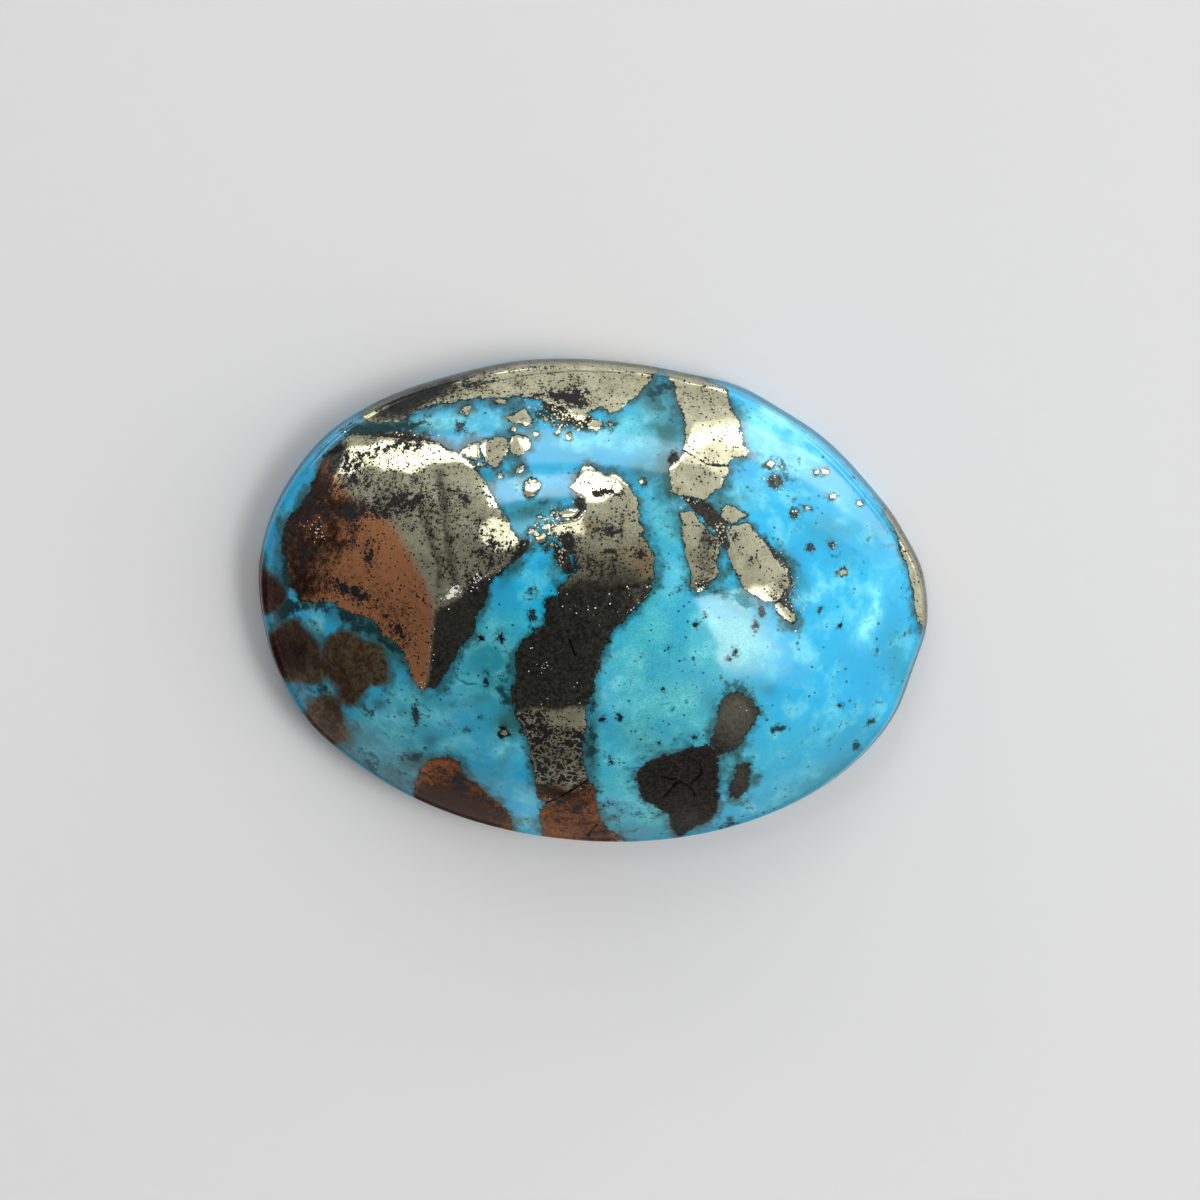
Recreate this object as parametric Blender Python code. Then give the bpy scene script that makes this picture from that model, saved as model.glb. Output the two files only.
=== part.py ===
"""Oval turquoise cabochon with pyrite, one polished natural stone. Metres, +Z up.

The stone lies on its flat sawn back. Its origin is at the middle of the back, its long
axis runs along X and its dome rises along +Z.
"""
import math

import bmesh
import bpy

# Driving dimensions of the oval, measured at its widest, just above the back
LENGTH = 0.02784
WIDTH = 0.02020
HEIGHT = 0.00720
FULLNESS = 2.06  # 2 is a plain ellipse, more is fuller at the shoulders

# The edge from the back up to the dome, drawn at the end of the short axis
BACK_BEVEL_IN = 0.00030
BACK_BEVEL_UP = 0.00040
WALL_TOP = 0.00150
WALL_LEAN = 0.00014
GIRDLE_ROUND_IN = 0.00017
GIRDLE_ROUND_UP = 0.00020

# The dome's section, between its edge at the girdle and its crown
DOME_SHOULDER = 2.1  # more keeps the crown flatter
DOME_STEEPNESS = 0.95  # less stands the dome steeper at the girdle

# Hand grinding left the outline uneven: direction and half width in degrees, then height
OUTLINE_SWELLS = (
    (-171.0, 6.0, -0.00009),
    (-151.0, 7.0, 0.00012),
    (-8.0, 5.0, -0.00010),
    (29.0, 9.0, -0.00017),
    (61.0, 8.0, 0.00018),
    (127.0, 11.0, -0.00011),
    (152.0, 8.0, 0.00009),
)

# A sliver of hard pyrite stands proud of the wall at the right end
LEDGE_DIRECTION = 6.5
LEDGE_HALF_WIDTH = 8.5
LEDGE_OUT = 0.00020
LEDGE_SHARPNESS = 4

# Folds in the large pyrite patch: start and end in X and Y, half width, depth
FOLDS = (
    ((-0.00682, 0.00548), (-0.00603, 0.00314), 0.00040, 0.00014),
    ((-0.00603, 0.00314), (-0.00536, 0.00122), 0.00040, 0.00014),
    ((-0.00710, 0.00355), (-0.00613, 0.00132), 0.00034, 0.00010),
)

# Softer places that polishing wore lower: middle in X and Y, radius, depth
WORN_HOLLOWS = (
    (0.00451, -0.00708, 0.00190, 0.00012),
    (0.00668, -0.00351, 0.00110, 0.00006),
    (-0.00938, -0.00301, 0.00120, 0.00006),
    (-0.01205, -0.00324, 0.00120, 0.00006),
)

# Fineness of the solid
STEPS_ROUND = 120
DOME_RINGS = 26
RING_CROWDING = 0.85  # under 1 crowds the rings towards the girdle
BACK_RING = 0.55  # share of the half width where the back has its inner ring
MERGE_DISTANCE = 0.000002
SHARP_EDGE = math.radians(35.0)

# Finish of polished turquoise
TURQUOISE = (0.115, 0.520, 0.640, 1.0)
POLISH_ROUGHNESS = 0.16
TURQUOISE_IOR = 1.61


def outline_radius(angle):
    """Distance from the middle of the back to the outline, at an angle in radians."""
    along = abs(math.cos(angle) * 2.0 / LENGTH) ** FULLNESS
    across = abs(math.sin(angle) * 2.0 / WIDTH) ** FULLNESS
    radius = (along + across) ** (-1.0 / FULLNESS)
    for direction, half_width, swell in OUTLINE_SWELLS:
        turn = math.remainder(angle - math.radians(direction), math.tau)
        radius += swell * math.exp(-((turn / math.radians(half_width)) ** 2))
    return radius


def ledge_reach(angle):
    """How far the pyrite ledge stands out of the wall, at an angle in radians."""
    turn = math.degrees(math.remainder(angle - math.radians(LEDGE_DIRECTION), math.tau))
    return LEDGE_OUT * math.exp(-(abs(turn / LEDGE_HALF_WIDTH) ** LEDGE_SHARPNESS))


def dome_edge():
    """Radius and height where the dome starts, on the section through the short axis."""
    return WIDTH / 2 - WALL_LEAN - GIRDLE_ROUND_IN, WALL_TOP + GIRDLE_ROUND_UP


def section_points():
    """Half section of the stone on its short axis, from the middle of the back to the crown."""
    half_width = WIDTH / 2
    edge_radius, edge_height = dome_edge()
    points = [
        (0.0, 0.0),
        (half_width * BACK_RING, 0.0),
        (half_width - BACK_BEVEL_IN, 0.0),
        (half_width, BACK_BEVEL_UP),
        (half_width - WALL_LEAN * 0.5, (BACK_BEVEL_UP + WALL_TOP) / 2),
        (half_width - WALL_LEAN, WALL_TOP),
    ]
    for ring in range(DOME_RINGS + 1):
        share = (1.0 - ring / DOME_RINGS) ** RING_CROWDING
        rise = (1.0 - share**DOME_SHOULDER) ** DOME_STEEPNESS
        points.append((edge_radius * share, edge_height + (HEIGHT - edge_height) * rise))
    return points


def distance_to_stretch(x, y, start, end):
    """Distance of a point from a straight stretch, seen from above."""
    run_x, run_y = end[0] - start[0], end[1] - start[1]
    share = ((x - start[0]) * run_x + (y - start[1]) * run_y) / (run_x**2 + run_y**2)
    share = min(max(share, 0.0), 1.0)
    return math.hypot(x - start[0] - share * run_x, y - start[1] - share * run_y)


def relief(x, y):
    """How far folds and worn hollows lower the dome at a place seen from above."""
    fold = 0.0
    for start, end, half_width, depth in FOLDS:
        distance = distance_to_stretch(x, y, start, end)
        fold = max(fold, depth * math.exp(-((distance / half_width) ** 2)))
    hollow = 0.0
    for middle_x, middle_y, radius, depth in WORN_HOLLOWS:
        distance = math.hypot(x - middle_x, y - middle_y)
        hollow += depth * math.exp(-((distance / radius) ** 4))
    return fold + hollow


def turned_body():
    """The section turned all the way round the Z axis into a round closed body."""
    mesh = bmesh.new()
    section = [mesh.verts.new((radius, 0.0, height)) for radius, height in section_points()]
    edges = [mesh.edges.new(pair) for pair in zip(section, section[1:])]
    bmesh.ops.spin(
        mesh,
        geom=section + edges,
        cent=(0.0, 0.0, 0.0),
        axis=(0.0, 0.0, 1.0),
        angle=math.tau,
        steps=STEPS_ROUND,
        use_merge=True,
    )
    bmesh.ops.remove_doubles(mesh, verts=mesh.verts, dist=MERGE_DISTANCE)
    return mesh


def draw_out_to_oval(mesh):
    """Draw each point of the round body out to the oval, then add the ledge and the relief."""
    edge_height = dome_edge()[1]
    for vert in mesh.verts:
        angle = math.atan2(vert.co.y, vert.co.x)
        stretch = outline_radius(angle) / (WIDTH / 2)
        vert.co.x *= stretch
        vert.co.y *= stretch
        on_wall = BACK_BEVEL_UP - MERGE_DISTANCE < vert.co.z < WALL_TOP + MERGE_DISTANCE
        if on_wall:
            vert.co.x += ledge_reach(angle) * math.cos(angle)
            vert.co.y += ledge_reach(angle) * math.sin(angle)
        if vert.co.z > edge_height + MERGE_DISTANCE:
            vert.co.z -= relief(vert.co.x, vert.co.y)


def centre_on_origin(mesh):
    """Put the middle of the oval's length and width at the origin."""
    for axis in range(2):
        places = [vert.co[axis] for vert in mesh.verts]
        middle = (min(places) + max(places)) / 2
        for vert in mesh.verts:
            vert.co[axis] -= middle


def polished_turquoise():
    """Waxy polished sky-blue turquoise."""
    material = bpy.data.materials.new("polished_turquoise")
    material.use_nodes = True
    shader = material.node_tree.nodes["Principled BSDF"]
    shader.inputs["Base Color"].default_value = TURQUOISE
    shader.inputs["Roughness"].default_value = POLISH_ROUGHNESS
    shader.inputs["Metallic"].default_value = 0.0
    shader.inputs["IOR"].default_value = TURQUOISE_IOR
    return material


def turquoise_stone():
    """The whole stone, one closed solid standing on its flat back."""
    mesh = turned_body()
    draw_out_to_oval(mesh)
    centre_on_origin(mesh)
    bmesh.ops.triangulate(mesh, faces=mesh.faces)
    bmesh.ops.recalc_face_normals(mesh, faces=mesh.faces)
    data = bpy.data.meshes.new("turquoise_stone")
    mesh.to_mesh(data)
    mesh.free()
    data.shade_smooth()
    data.set_sharp_from_angle(angle=SHARP_EDGE)
    data.materials.append(polished_turquoise())
    stone = bpy.data.objects.new("turquoise_stone", data)
    bpy.context.scene.collection.objects.link(stone)
    return stone


for old_object in list(bpy.data.objects):
    bpy.data.objects.remove(old_object, do_unlink=True)

turquoise_stone()
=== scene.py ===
import math

import bmesh
import bpy
import numpy as np
from mathutils import Matrix, Vector, noise


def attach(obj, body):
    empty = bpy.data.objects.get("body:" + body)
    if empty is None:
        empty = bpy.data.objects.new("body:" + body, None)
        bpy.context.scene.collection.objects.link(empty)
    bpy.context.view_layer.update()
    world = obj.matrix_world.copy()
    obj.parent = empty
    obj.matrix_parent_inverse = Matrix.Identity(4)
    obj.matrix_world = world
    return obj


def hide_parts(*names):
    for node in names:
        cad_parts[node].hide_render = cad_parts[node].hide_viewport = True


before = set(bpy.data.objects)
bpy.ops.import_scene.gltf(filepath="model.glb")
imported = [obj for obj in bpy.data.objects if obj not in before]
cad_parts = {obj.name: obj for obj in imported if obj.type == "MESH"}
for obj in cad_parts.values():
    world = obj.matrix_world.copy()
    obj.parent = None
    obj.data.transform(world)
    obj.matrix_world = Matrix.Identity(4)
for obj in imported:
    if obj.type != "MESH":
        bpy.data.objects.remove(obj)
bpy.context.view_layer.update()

# The view
# The stone is looked at almost straight down on its dome. The camera leans a little towards
# the oval's upper long side and its right end, and the long axis is turned in the picture.
PICTURE_SIDE = 1200.0
PIXELS_PER_METRE = 24000.0
STONE_IN_PICTURE = (591.1, 603.3)
LONG_AXIS_TURN = math.radians(5.3)
LEAN = math.radians(8.0)
LEAN_TO_THE_RIGHT = math.radians(20.0)
LOOKED_AT_HEIGHT = 0.0012
CAMERA_DISTANCE = 0.40
SENSOR = 36.0
NEAREST_SEEN = 0.01
FARTHEST_SEEN = 20.0

picture_right = Vector((math.cos(LONG_AXIS_TURN), math.sin(LONG_AXIS_TURN), 0.0))
picture_up = Vector((-math.sin(LONG_AXIS_TURN), math.cos(LONG_AXIS_TURN), 0.0))
straight_up = Vector((0.0, 0.0, 1.0))
lean_side = picture_up * math.cos(LEAN_TO_THE_RIGHT) + picture_right * math.sin(LEAN_TO_THE_RIGHT)
view_back = straight_up * math.cos(LEAN) + lean_side * math.sin(LEAN)
view_up = (picture_up - view_back * picture_up.dot(view_back)).normalized()
view_right = view_up.cross(view_back)

stone_offset_right = (STONE_IN_PICTURE[0] - PICTURE_SIDE / 2) / PIXELS_PER_METRE
stone_offset_down = (STONE_IN_PICTURE[1] - PICTURE_SIDE / 2) / PIXELS_PER_METRE
camera_aim = (
    straight_up * LOOKED_AT_HEIGHT - view_right * stone_offset_right + view_up * stone_offset_down
)
camera_place = camera_aim + view_back * CAMERA_DISTANCE

camera_data = bpy.data.cameras.new("camera")
camera_data.sensor_width = SENSOR
camera_data.lens = SENSOR * CAMERA_DISTANCE * PIXELS_PER_METRE / PICTURE_SIDE
camera_data.clip_start = NEAREST_SEEN
camera_data.clip_end = FARTHEST_SEEN
camera = bpy.data.objects.new("camera", camera_data)
camera.matrix_world = Matrix.Translation(camera_place) @ Matrix(
    (view_right, view_up, view_back)
).transposed().to_4x4()
bpy.context.scene.collection.objects.link(camera)
bpy.context.scene.camera = camera
bpy.context.scene.view_settings.view_transform = "Standard"


def picture_place(points):
    """Where points, an array of rows in metres, fall in the picture, in its pixels."""
    offset = points - np.array(camera_place)
    scale = PIXELS_PER_METRE * CAMERA_DISTANCE / -(offset @ np.array(view_back))
    across = PICTURE_SIDE / 2 + offset @ np.array(view_right) * scale
    down = PICTURE_SIDE / 2 - offset @ np.array(view_up) * scale
    return np.column_stack((across, down))


# The cut of the stone
# One piece of turquoise rock, sawn flat behind and ground by hand to an uneven oval with a
# short upright wall, then domed and polished. It is domed here as a grid drawn into the oval.
LENGTH = 0.02784
WIDTH = 0.02020
HEIGHT = 0.00716
FULLNESS = 2.06
BACK_BEVEL_IN = 0.00030
BACK_BEVEL_UP = 0.00040
WALL_TOP = 0.00150
WALL_LEAN = 0.00014
GIRDLE_ROUND_IN = 0.00017
GIRDLE_ROUND_UP = 0.00020
DOME_SHOULDER = 2.1
DOME_STEEPNESS = 0.95
DOME_EDGE_RADIUS = WIDTH / 2 - WALL_LEAN - GIRDLE_ROUND_IN
DOME_EDGE_HEIGHT = WALL_TOP + GIRDLE_ROUND_UP
OUTLINE_SWELLS = (
    (-171.0, 6.0, -0.00009),
    (-151.0, 7.0, 0.00012),
    (-8.0, 5.0, -0.00010),
    (29.0, 9.0, -0.00017),
    (61.0, 8.0, 0.00018),
    (127.0, 11.0, -0.00011),
    (152.0, 8.0, 0.00009),
)
LEDGE_DIRECTION = 6.5
LEDGE_HALF_WIDTH = 8.5
LEDGE_OUT = 0.00019
LEDGE_SHARPNESS = 4
NEAR_RING = 0.00001
DOME_GRID = 272
RIM_CROWDING = 0.3
BACK_RINGS = (0.95, 0.88, 0.78, 0.60, 0.35)
QUARTERS = (0.25, 0.5, 0.75, 1.0)
BEVEL_STEPS = (0.35, 0.7, 1.0)


def turn_between(angles, direction):
    """Signed turn in degrees from a direction in degrees to each angle in radians."""
    return np.degrees((angles - math.radians(direction) + math.pi) % math.tau - math.pi)


def outline_radius(angles):
    """Distance from the middle of the back to the outline at each angle in radians."""
    along = np.abs(np.cos(angles) * 2.0 / LENGTH) ** FULLNESS
    across = np.abs(np.sin(angles) * 2.0 / WIDTH) ** FULLNESS
    radius = (along + across) ** (-1.0 / FULLNESS)
    for direction, half_width, swell in OUTLINE_SWELLS:
        radius += swell * np.exp(-((turn_between(angles, direction) / half_width) ** 2))
    return radius


def ledge_reach(angles):
    """How far the hard pyrite ledge stands out of the wall at each angle in radians."""
    turn = np.abs(turn_between(angles, LEDGE_DIRECTION) / LEDGE_HALF_WIDTH)
    return LEDGE_OUT * np.exp(-(turn**LEDGE_SHARPNESS))


def mesh_points(mesh):
    """All vertex places of a bmesh as an array of rows."""
    return np.array([vert.co[:] for vert in mesh.verts])


def set_mesh_points(mesh, points):
    """Move every vertex of a bmesh to its row of an array."""
    for vert, point in zip(mesh.verts, points):
        vert.co = point


def square_to_disc(points):
    """Draw a square grid into a disc with evenly spaced rows. Gives share of radius and angle."""
    x, y = points[:, 0], points[:, 1]
    wide = np.abs(x) > np.abs(y)
    safe_x = np.where(x == 0.0, 1.0, x)
    safe_y = np.where(y == 0.0, 1.0, y)
    reach = np.where(wide, x, y)
    quarter = math.pi / 4
    turn = np.where(wide, quarter * y / safe_x, 2 * quarter - quarter * x / safe_y)
    share = np.clip(np.abs(reach), 0.0, 1.0)
    angle = np.arctan2(reach * np.sin(turn), reach * np.cos(turn))
    return share * (1.0 + RIM_CROWDING * (1.0 - share)), angle


def wall_section():
    """Rings from the dome's edge down the wall to the flat back: radius and height of each."""
    half_width = WIDTH / 2
    rings = []
    for share in QUARTERS:
        inward = GIRDLE_ROUND_IN * (1.0 - math.sin(share * math.pi / 2))
        upward = GIRDLE_ROUND_UP * (1.0 - share)
        rings.append((half_width - WALL_LEAN - inward, WALL_TOP + upward))
    for share in QUARTERS:
        height = WALL_TOP + (BACK_BEVEL_UP - WALL_TOP) * share
        rings.append((half_width - WALL_LEAN * (1.0 - share), height))
    for share in BEVEL_STEPS:
        rings.append((half_width - BACK_BEVEL_IN * share, BACK_BEVEL_UP * (1.0 - share)))
    for share in BACK_RINGS:
        rings.append((half_width * share, 0.0))
    return rings


stone_mesh = bmesh.new()
bmesh.ops.create_grid(stone_mesh, x_segments=DOME_GRID, y_segments=DOME_GRID, size=1.0)
dome_share, dome_angle = square_to_disc(mesh_points(stone_mesh))
dome_stretch = outline_radius(dome_angle) / (WIDTH / 2)
dome_radius = DOME_EDGE_RADIUS * dome_share * dome_stretch
dome_rise = (1.0 - dome_share**DOME_SHOULDER) ** DOME_STEEPNESS
set_mesh_points(stone_mesh, np.column_stack((
    dome_radius * np.cos(dome_angle),
    dome_radius * np.sin(dome_angle),
    DOME_EDGE_HEIGHT + (HEIGHT - DOME_EDGE_HEIGHT) * dome_rise,
)))

# wall_depth is how far each vertex lies below the dome's edge along the wall, 0 on the dome
wall_depth = [0.0] * len(stone_mesh.verts)
rim_edges = [edge for edge in stone_mesh.edges if edge.is_boundary]
previous_ring = (DOME_EDGE_RADIUS, DOME_EDGE_HEIGHT)
depth_so_far = 0.0
for ring_radius, ring_height in wall_section():
    grown = bmesh.ops.extrude_edge_only(stone_mesh, edges=rim_edges)["geom"]
    rim_edges = [item for item in grown if isinstance(item, bmesh.types.BMEdge) and item.is_boundary]
    ring_verts = [item for item in grown if isinstance(item, bmesh.types.BMVert)]
    depth_so_far += math.dist(previous_ring, (ring_radius, ring_height))
    previous_ring = (ring_radius, ring_height)
    ring_angle = np.array([math.atan2(vert.co.y, vert.co.x) for vert in ring_verts])
    ring_reach = outline_radius(ring_angle) * ring_radius / (WIDTH / 2)
    if BACK_BEVEL_UP - NEAR_RING < ring_height < WALL_TOP + NEAR_RING:
        ring_reach = ring_reach + ledge_reach(ring_angle)
    for vert, angle, reach in zip(ring_verts, ring_angle, ring_reach):
        vert.co = (reach * math.cos(angle), reach * math.sin(angle), ring_height)
        wall_depth.append(depth_so_far)
bmesh.ops.holes_fill(stone_mesh, edges=rim_edges, sides=0)
bmesh.ops.recalc_face_normals(stone_mesh, faces=stone_mesh.faces)
stone_points = mesh_points(stone_mesh)
wall_depth = np.array(wall_depth)
on_dome = wall_depth == 0.0

# markings run over the dome's edge and on down the wall, so a place on the wall is laid
# outside the edge by its depth down the wall
stone_angle = np.arctan2(stone_points[:, 1], stone_points[:, 0])
outward = np.column_stack((np.cos(stone_angle), np.sin(stone_angle), np.zeros(len(stone_angle))))
edge_points = outward * (outline_radius(stone_angle) * DOME_EDGE_RADIUS / (WIDTH / 2))[:, None]
edge_points[:, 2] = DOME_EDGE_HEIGHT
laid_out = edge_points + outward * wall_depth[:, None]
places = picture_place(np.where(on_dome[:, None], stone_points, laid_out))
markings = {}


# The pyrite
# Brassy pyrite grew through the rock in plates and small nuggets and is ground flush with it.
# Each patch is an outline in the picture that is laid over the dome and on down the wall.
PYRITE_PATCHES = {
    "left wing": (
        (349, 437), (326, 457), (319, 476), (310, 496), (296, 514), (286, 527), (283, 544),
        (289, 555), (291, 575), (293, 586), (302, 600), (319, 602), (333, 601), (342, 607),
        (359, 614), (376, 621), (385, 635), (402, 643), (410, 661), (416, 680), (424, 692),
        (430, 687), (440, 687), (454, 661), (462, 647), (473, 635), (478, 615), (487, 601),
        (491, 587), (498, 573), (510, 568), (515, 552), (521, 542), (516, 536), (510, 521),
        (500, 511), (496, 501), (488, 485), (478, 470), (464, 458), (455, 453), (442, 444),
        (423, 441), (411, 441), (395, 438), (380, 438), (360, 434),
    ),
    "top band": (
        (371, 422), (383, 424), (396, 419), (412, 415), (426, 409), (440, 404), (455, 402),
        (470, 400), (479, 396), (493, 398), (509, 397), (532, 396), (544, 399), (551, 403),
        (561, 405), (572, 411), (583, 416), (594, 410), (602, 406), (607, 409), (616, 411),
        (624, 408), (630, 402), (638, 396), (645, 389), (653, 381), (655, 373), (661, 368),
        (668, 325), (560, 315), (450, 335), (380, 360), (355, 405),
    ),
    "upper right band": (
        (672, 345), (670, 373), (676, 384), (680, 399), (685, 414), (688, 425), (689, 440),
        (685, 450), (705, 461), (730, 467), (731, 463), (735, 456), (748, 457), (751, 452),
        (746, 445), (744, 441), (743, 429), (738, 419), (731, 407), (727, 390), (721, 383),
        (712, 376), (715, 345),
    ),
    "nugget under the crack": (
        (685, 453), (682, 458), (672, 468), (673, 480), (674, 491), (684, 495), (697, 497),
        (706, 499), (716, 492), (724, 487), (725, 479), (730, 472), (730, 466), (715, 465),
        (705, 461), (695, 455),
    ),
    "left leaf": (
        (682, 513), (693, 511), (701, 522), (715, 533), (721, 545), (721, 552), (719, 564),
        (721, 573), (715, 579), (708, 586), (701, 592), (694, 587), (694, 573), (688, 553),
        (685, 534), (683, 521),
    ),
    "right leaf": (
        (728, 529), (738, 526), (749, 524), (755, 530), (762, 539), (771, 549), (778, 558),
        (785, 568), (791, 578), (791, 585), (785, 595), (775, 602), (764, 600), (754, 594),
        (745, 585), (740, 573), (733, 564), (731, 552), (734, 544), (729, 534),
    ),
    "leaf tail": (
        (780, 603), (787, 607), (798, 615), (798, 620), (792, 623), (785, 617), (778, 608),
    ),
    "nugget between the leaves": (
        (723, 510), (730, 506), (738, 507), (748, 516), (739, 521), (731, 522), (724, 517),
    ),
    "middle column": (
        (585, 469), (590, 466), (599, 470), (608, 474), (618, 475), (623, 479), (631, 487),
        (636, 496), (639, 503), (641, 520), (648, 540), (655, 560), (656, 579), (649, 595),
        (638, 609), (620, 624), (613, 632), (609, 642), (603, 654), (601, 666), (596, 680),
        (594, 694), (588, 706), (587, 724), (586, 734), (584, 749), (584, 766), (590, 780),
        (595, 789), (598, 800), (600, 815), (609, 828), (620, 835), (628, 844), (640, 885),
        (560, 890), (548, 845), (545, 830), (542, 818), (543, 812), (550, 803), (541, 797),
        (538, 789), (538, 777), (535, 766), (533, 751), (530, 737), (524, 730), (520, 718),
        (517, 706), (513, 692), (519, 680), (518, 668), (519, 655), (525, 641), (538, 633),
        (549, 626), (548, 615), (547, 603), (557, 598), (561, 588), (570, 582), (578, 569),
        (575, 555), (565, 548), (559, 537), (556, 527), (566, 522), (580, 519), (587, 510),
        (587, 500), (580, 493), (573, 487), (577, 482), (582, 477),
    ),
    "bottom left foot": (
        (416, 802), (418, 783), (424, 767), (434, 760), (449, 758), (461, 763), (465, 774),
        (473, 781), (483, 789), (492, 798), (503, 805), (510, 814), (515, 827), (517, 840),
        (520, 880), (395, 850),
    ),
    "right sliver": (
        (889, 513), (897, 527), (902, 545), (910, 567), (914, 587), (919, 612), (921, 628),
        (960, 634), (965, 560), (930, 500),
    ),
    "first nugget": (
        (465, 452), (470, 446), (477, 443), (482, 446), (482, 453), (484, 459), (477, 460),
        (470, 457),
    ),
    "second nugget": (
        (483, 446), (486, 440), (493, 440), (500, 438), (507, 438), (511, 442), (510, 450),
        (508, 458), (503, 461), (502, 465), (496, 468), (489, 461), (485, 456), (484, 450),
    ),
    "third nugget": (
        (513, 441), (514, 437), (520, 436), (528, 437), (532, 444), (530, 450), (526, 453),
        (520, 456), (514, 453), (513, 447),
    ),
    "ragged nugget": (
        (507, 417), (515, 416), (520, 412), (526, 410), (530, 415), (535, 420), (534, 426),
        (528, 426), (523, 423), (517, 423), (514, 421),
    ),
    "flake by the column": (
        (561, 513), (566, 509), (573, 509), (581, 510), (579, 516), (572, 518), (564, 517),
    ),
    "foot flake": ((572, 414), (579, 411), (588, 413), (586, 418), (577, 419)),
    "long flake": ((495, 401), (501, 399), (509, 400), (506, 404), (500, 404)),
    "small flake": ((462, 412), (466, 408), (472, 407), (473, 410), (468, 414)),
    "tilted splinter": ((536, 437), (537, 433), (540, 431), (541, 434), (538, 438)),
    "flat splinter": ((517, 471), (521, 468), (526, 466), (527, 468), (522, 472)),
}
# single grains: middle, half length and half width in pixels
PYRITE_GRAINS = (
    (533, 488, 8, 8), (597, 426, 6, 4), (516, 429, 2, 2), (481, 465, 3, 1.5), (501, 476, 2, 2),
    (571, 437, 2.5, 2.5), (544, 539, 5, 4), (534, 530, 2.5, 2), (549, 527, 2.5, 2.5),
    (539, 525, 1.5, 1.5), (556, 514, 2, 2), (556, 425, 1.5, 1.5), (562, 428, 1.5, 1.5),
    (613, 426, 1.5, 2), (613, 411, 2, 2), (547, 541, 2, 2), (551, 534, 2, 1.5),
    (772, 464, 3, 2), (819, 473, 3, 2.5), (827, 471, 3, 2.5), (835, 497, 3.5, 3),
    (863, 504, 2.5, 2), (810, 508, 2, 1.5), (844, 572, 3, 2.5), (506, 733, 3, 3),
    (644, 482, 1.5, 1.5), (560, 622, 2, 2), (425, 679, 1.5, 3), (398, 420, 3, 1.5),
    (406, 418, 2, 1.5), (541, 517, 2, 1.5), (547, 519, 1.5, 1.5), (530, 536, 1.5, 1.5),
    (553, 545, 2, 1.5), (549, 550, 1.5, 1.5), (538, 533, 1.5, 1), (572, 429, 1.5, 1.5),
    (549, 420, 1.5, 1), (559, 433, 1.5, 1.5), (598, 428, 4, 3),
)
# softly edged places: middle, half length and half width in pixels, turn in degrees, strength
PITTED_PLACES = (
    (350, 464, 20, 13, -10, 1.35), (398, 446, 40, 9, 10, 1.35), (355, 484, 26, 10, 0, 0.8),
    (312, 500, 12, 40, -32, 0.9), (350, 512, 34, 12, 0, 1.4), (300, 550, 22, 34, 0, 1.0),
    (352, 535, 14, 14, 0, 0.7), (372, 556, 7, 16, 0, 1.5), (395, 500, 30, 18, 0, 1.0),
    (425, 505, 26, 26, 0, 0.7), (410, 472, 26, 10, 0, 0.5), (340, 586, 24, 7, -25, 1.3),
    (372, 600, 26, 9, -30, 0.9), (400, 634, 20, 8, -42, 1.5), (500, 550, 16, 16, 0, 0.8),
    (464, 497, 11, 9, 0, 1.3), (460, 545, 34, 44, 0, 0.60), (480, 580, 30, 10, 40, 0.7),
    (490, 530, 20, 12, 0, 0.45), (460, 660, 20, 20, 0, 0.3), (470, 470, 16, 12, 0, 0.4),
    (580, 392, 9, 12, 0, 1.5), (572, 401, 22, 7, -15, 1.3), (545, 396, 22, 5, 0, 0.8),
    (410, 405, 36, 14, 25, 1.1), (450, 392, 40, 12, 10, 0.8), (455, 372, 50, 10, 15, 0.9),
    (500, 385, 60, 8, -5, 0.55), (620, 395, 30, 16, 0, 0.30), (520, 370, 90, 10, 0, 0.25),
    (602, 493, 11, 5, 8, 2.2), (622, 494, 8, 4, 0, 1.2), (586, 483, 5, 4, 0, 1.2),
    (570, 540, 10, 14, 0, 1.4), (568, 560, 10, 10, 0, 1.4), (600, 540, 40, 30, 0, 0.55),
    (640, 515, 16, 16, 0, 0.5), (618, 531, 10, 5, 0, 1.3), (594, 567, 40, 12, 0, 0.8),
    (643, 556, 7, 5, 0, 1.6), (612, 552, 6, 3, 0, 1.4), (580, 590, 34, 10, 0, 0.9),
    (540, 730, 22, 14, 0, 1.1), (575, 805, 30, 8, -20, 0.8), (605, 832, 22, 12, 0, 1.0),
    (444, 772, 24, 7, -10, 0.9), (462, 784, 6, 13, 0, 1.9), (492, 803, 26, 8, -38, 1.1),
    (430, 800, 24, 16, 0, 0.5), (560, 815, 14, 14, 0, 0.7), (711, 552, 9, 32, 0, 1.10),
    (705, 585, 10, 7, 0, 1.0), (782, 592, 12, 16, -30, 0.7), (745, 447, 8, 8, 0, 0.9),
    (678, 458, 6, 6, 0, 1.0), (680, 490, 8, 6, 0, 0.5), (735, 535, 10, 8, 0, 0.7),
    (755, 560, 30, 14, 40, 0.2), (705, 400, 16, 10, 0, 0.2), (708, 470, 10, 8, 0, 0.3),
    (440, 440, 16, 6, 20, 0.8), (492, 490, 8, 12, 0, 0.6), (905, 560, 8, 20, 0, 0.4),
)
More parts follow.
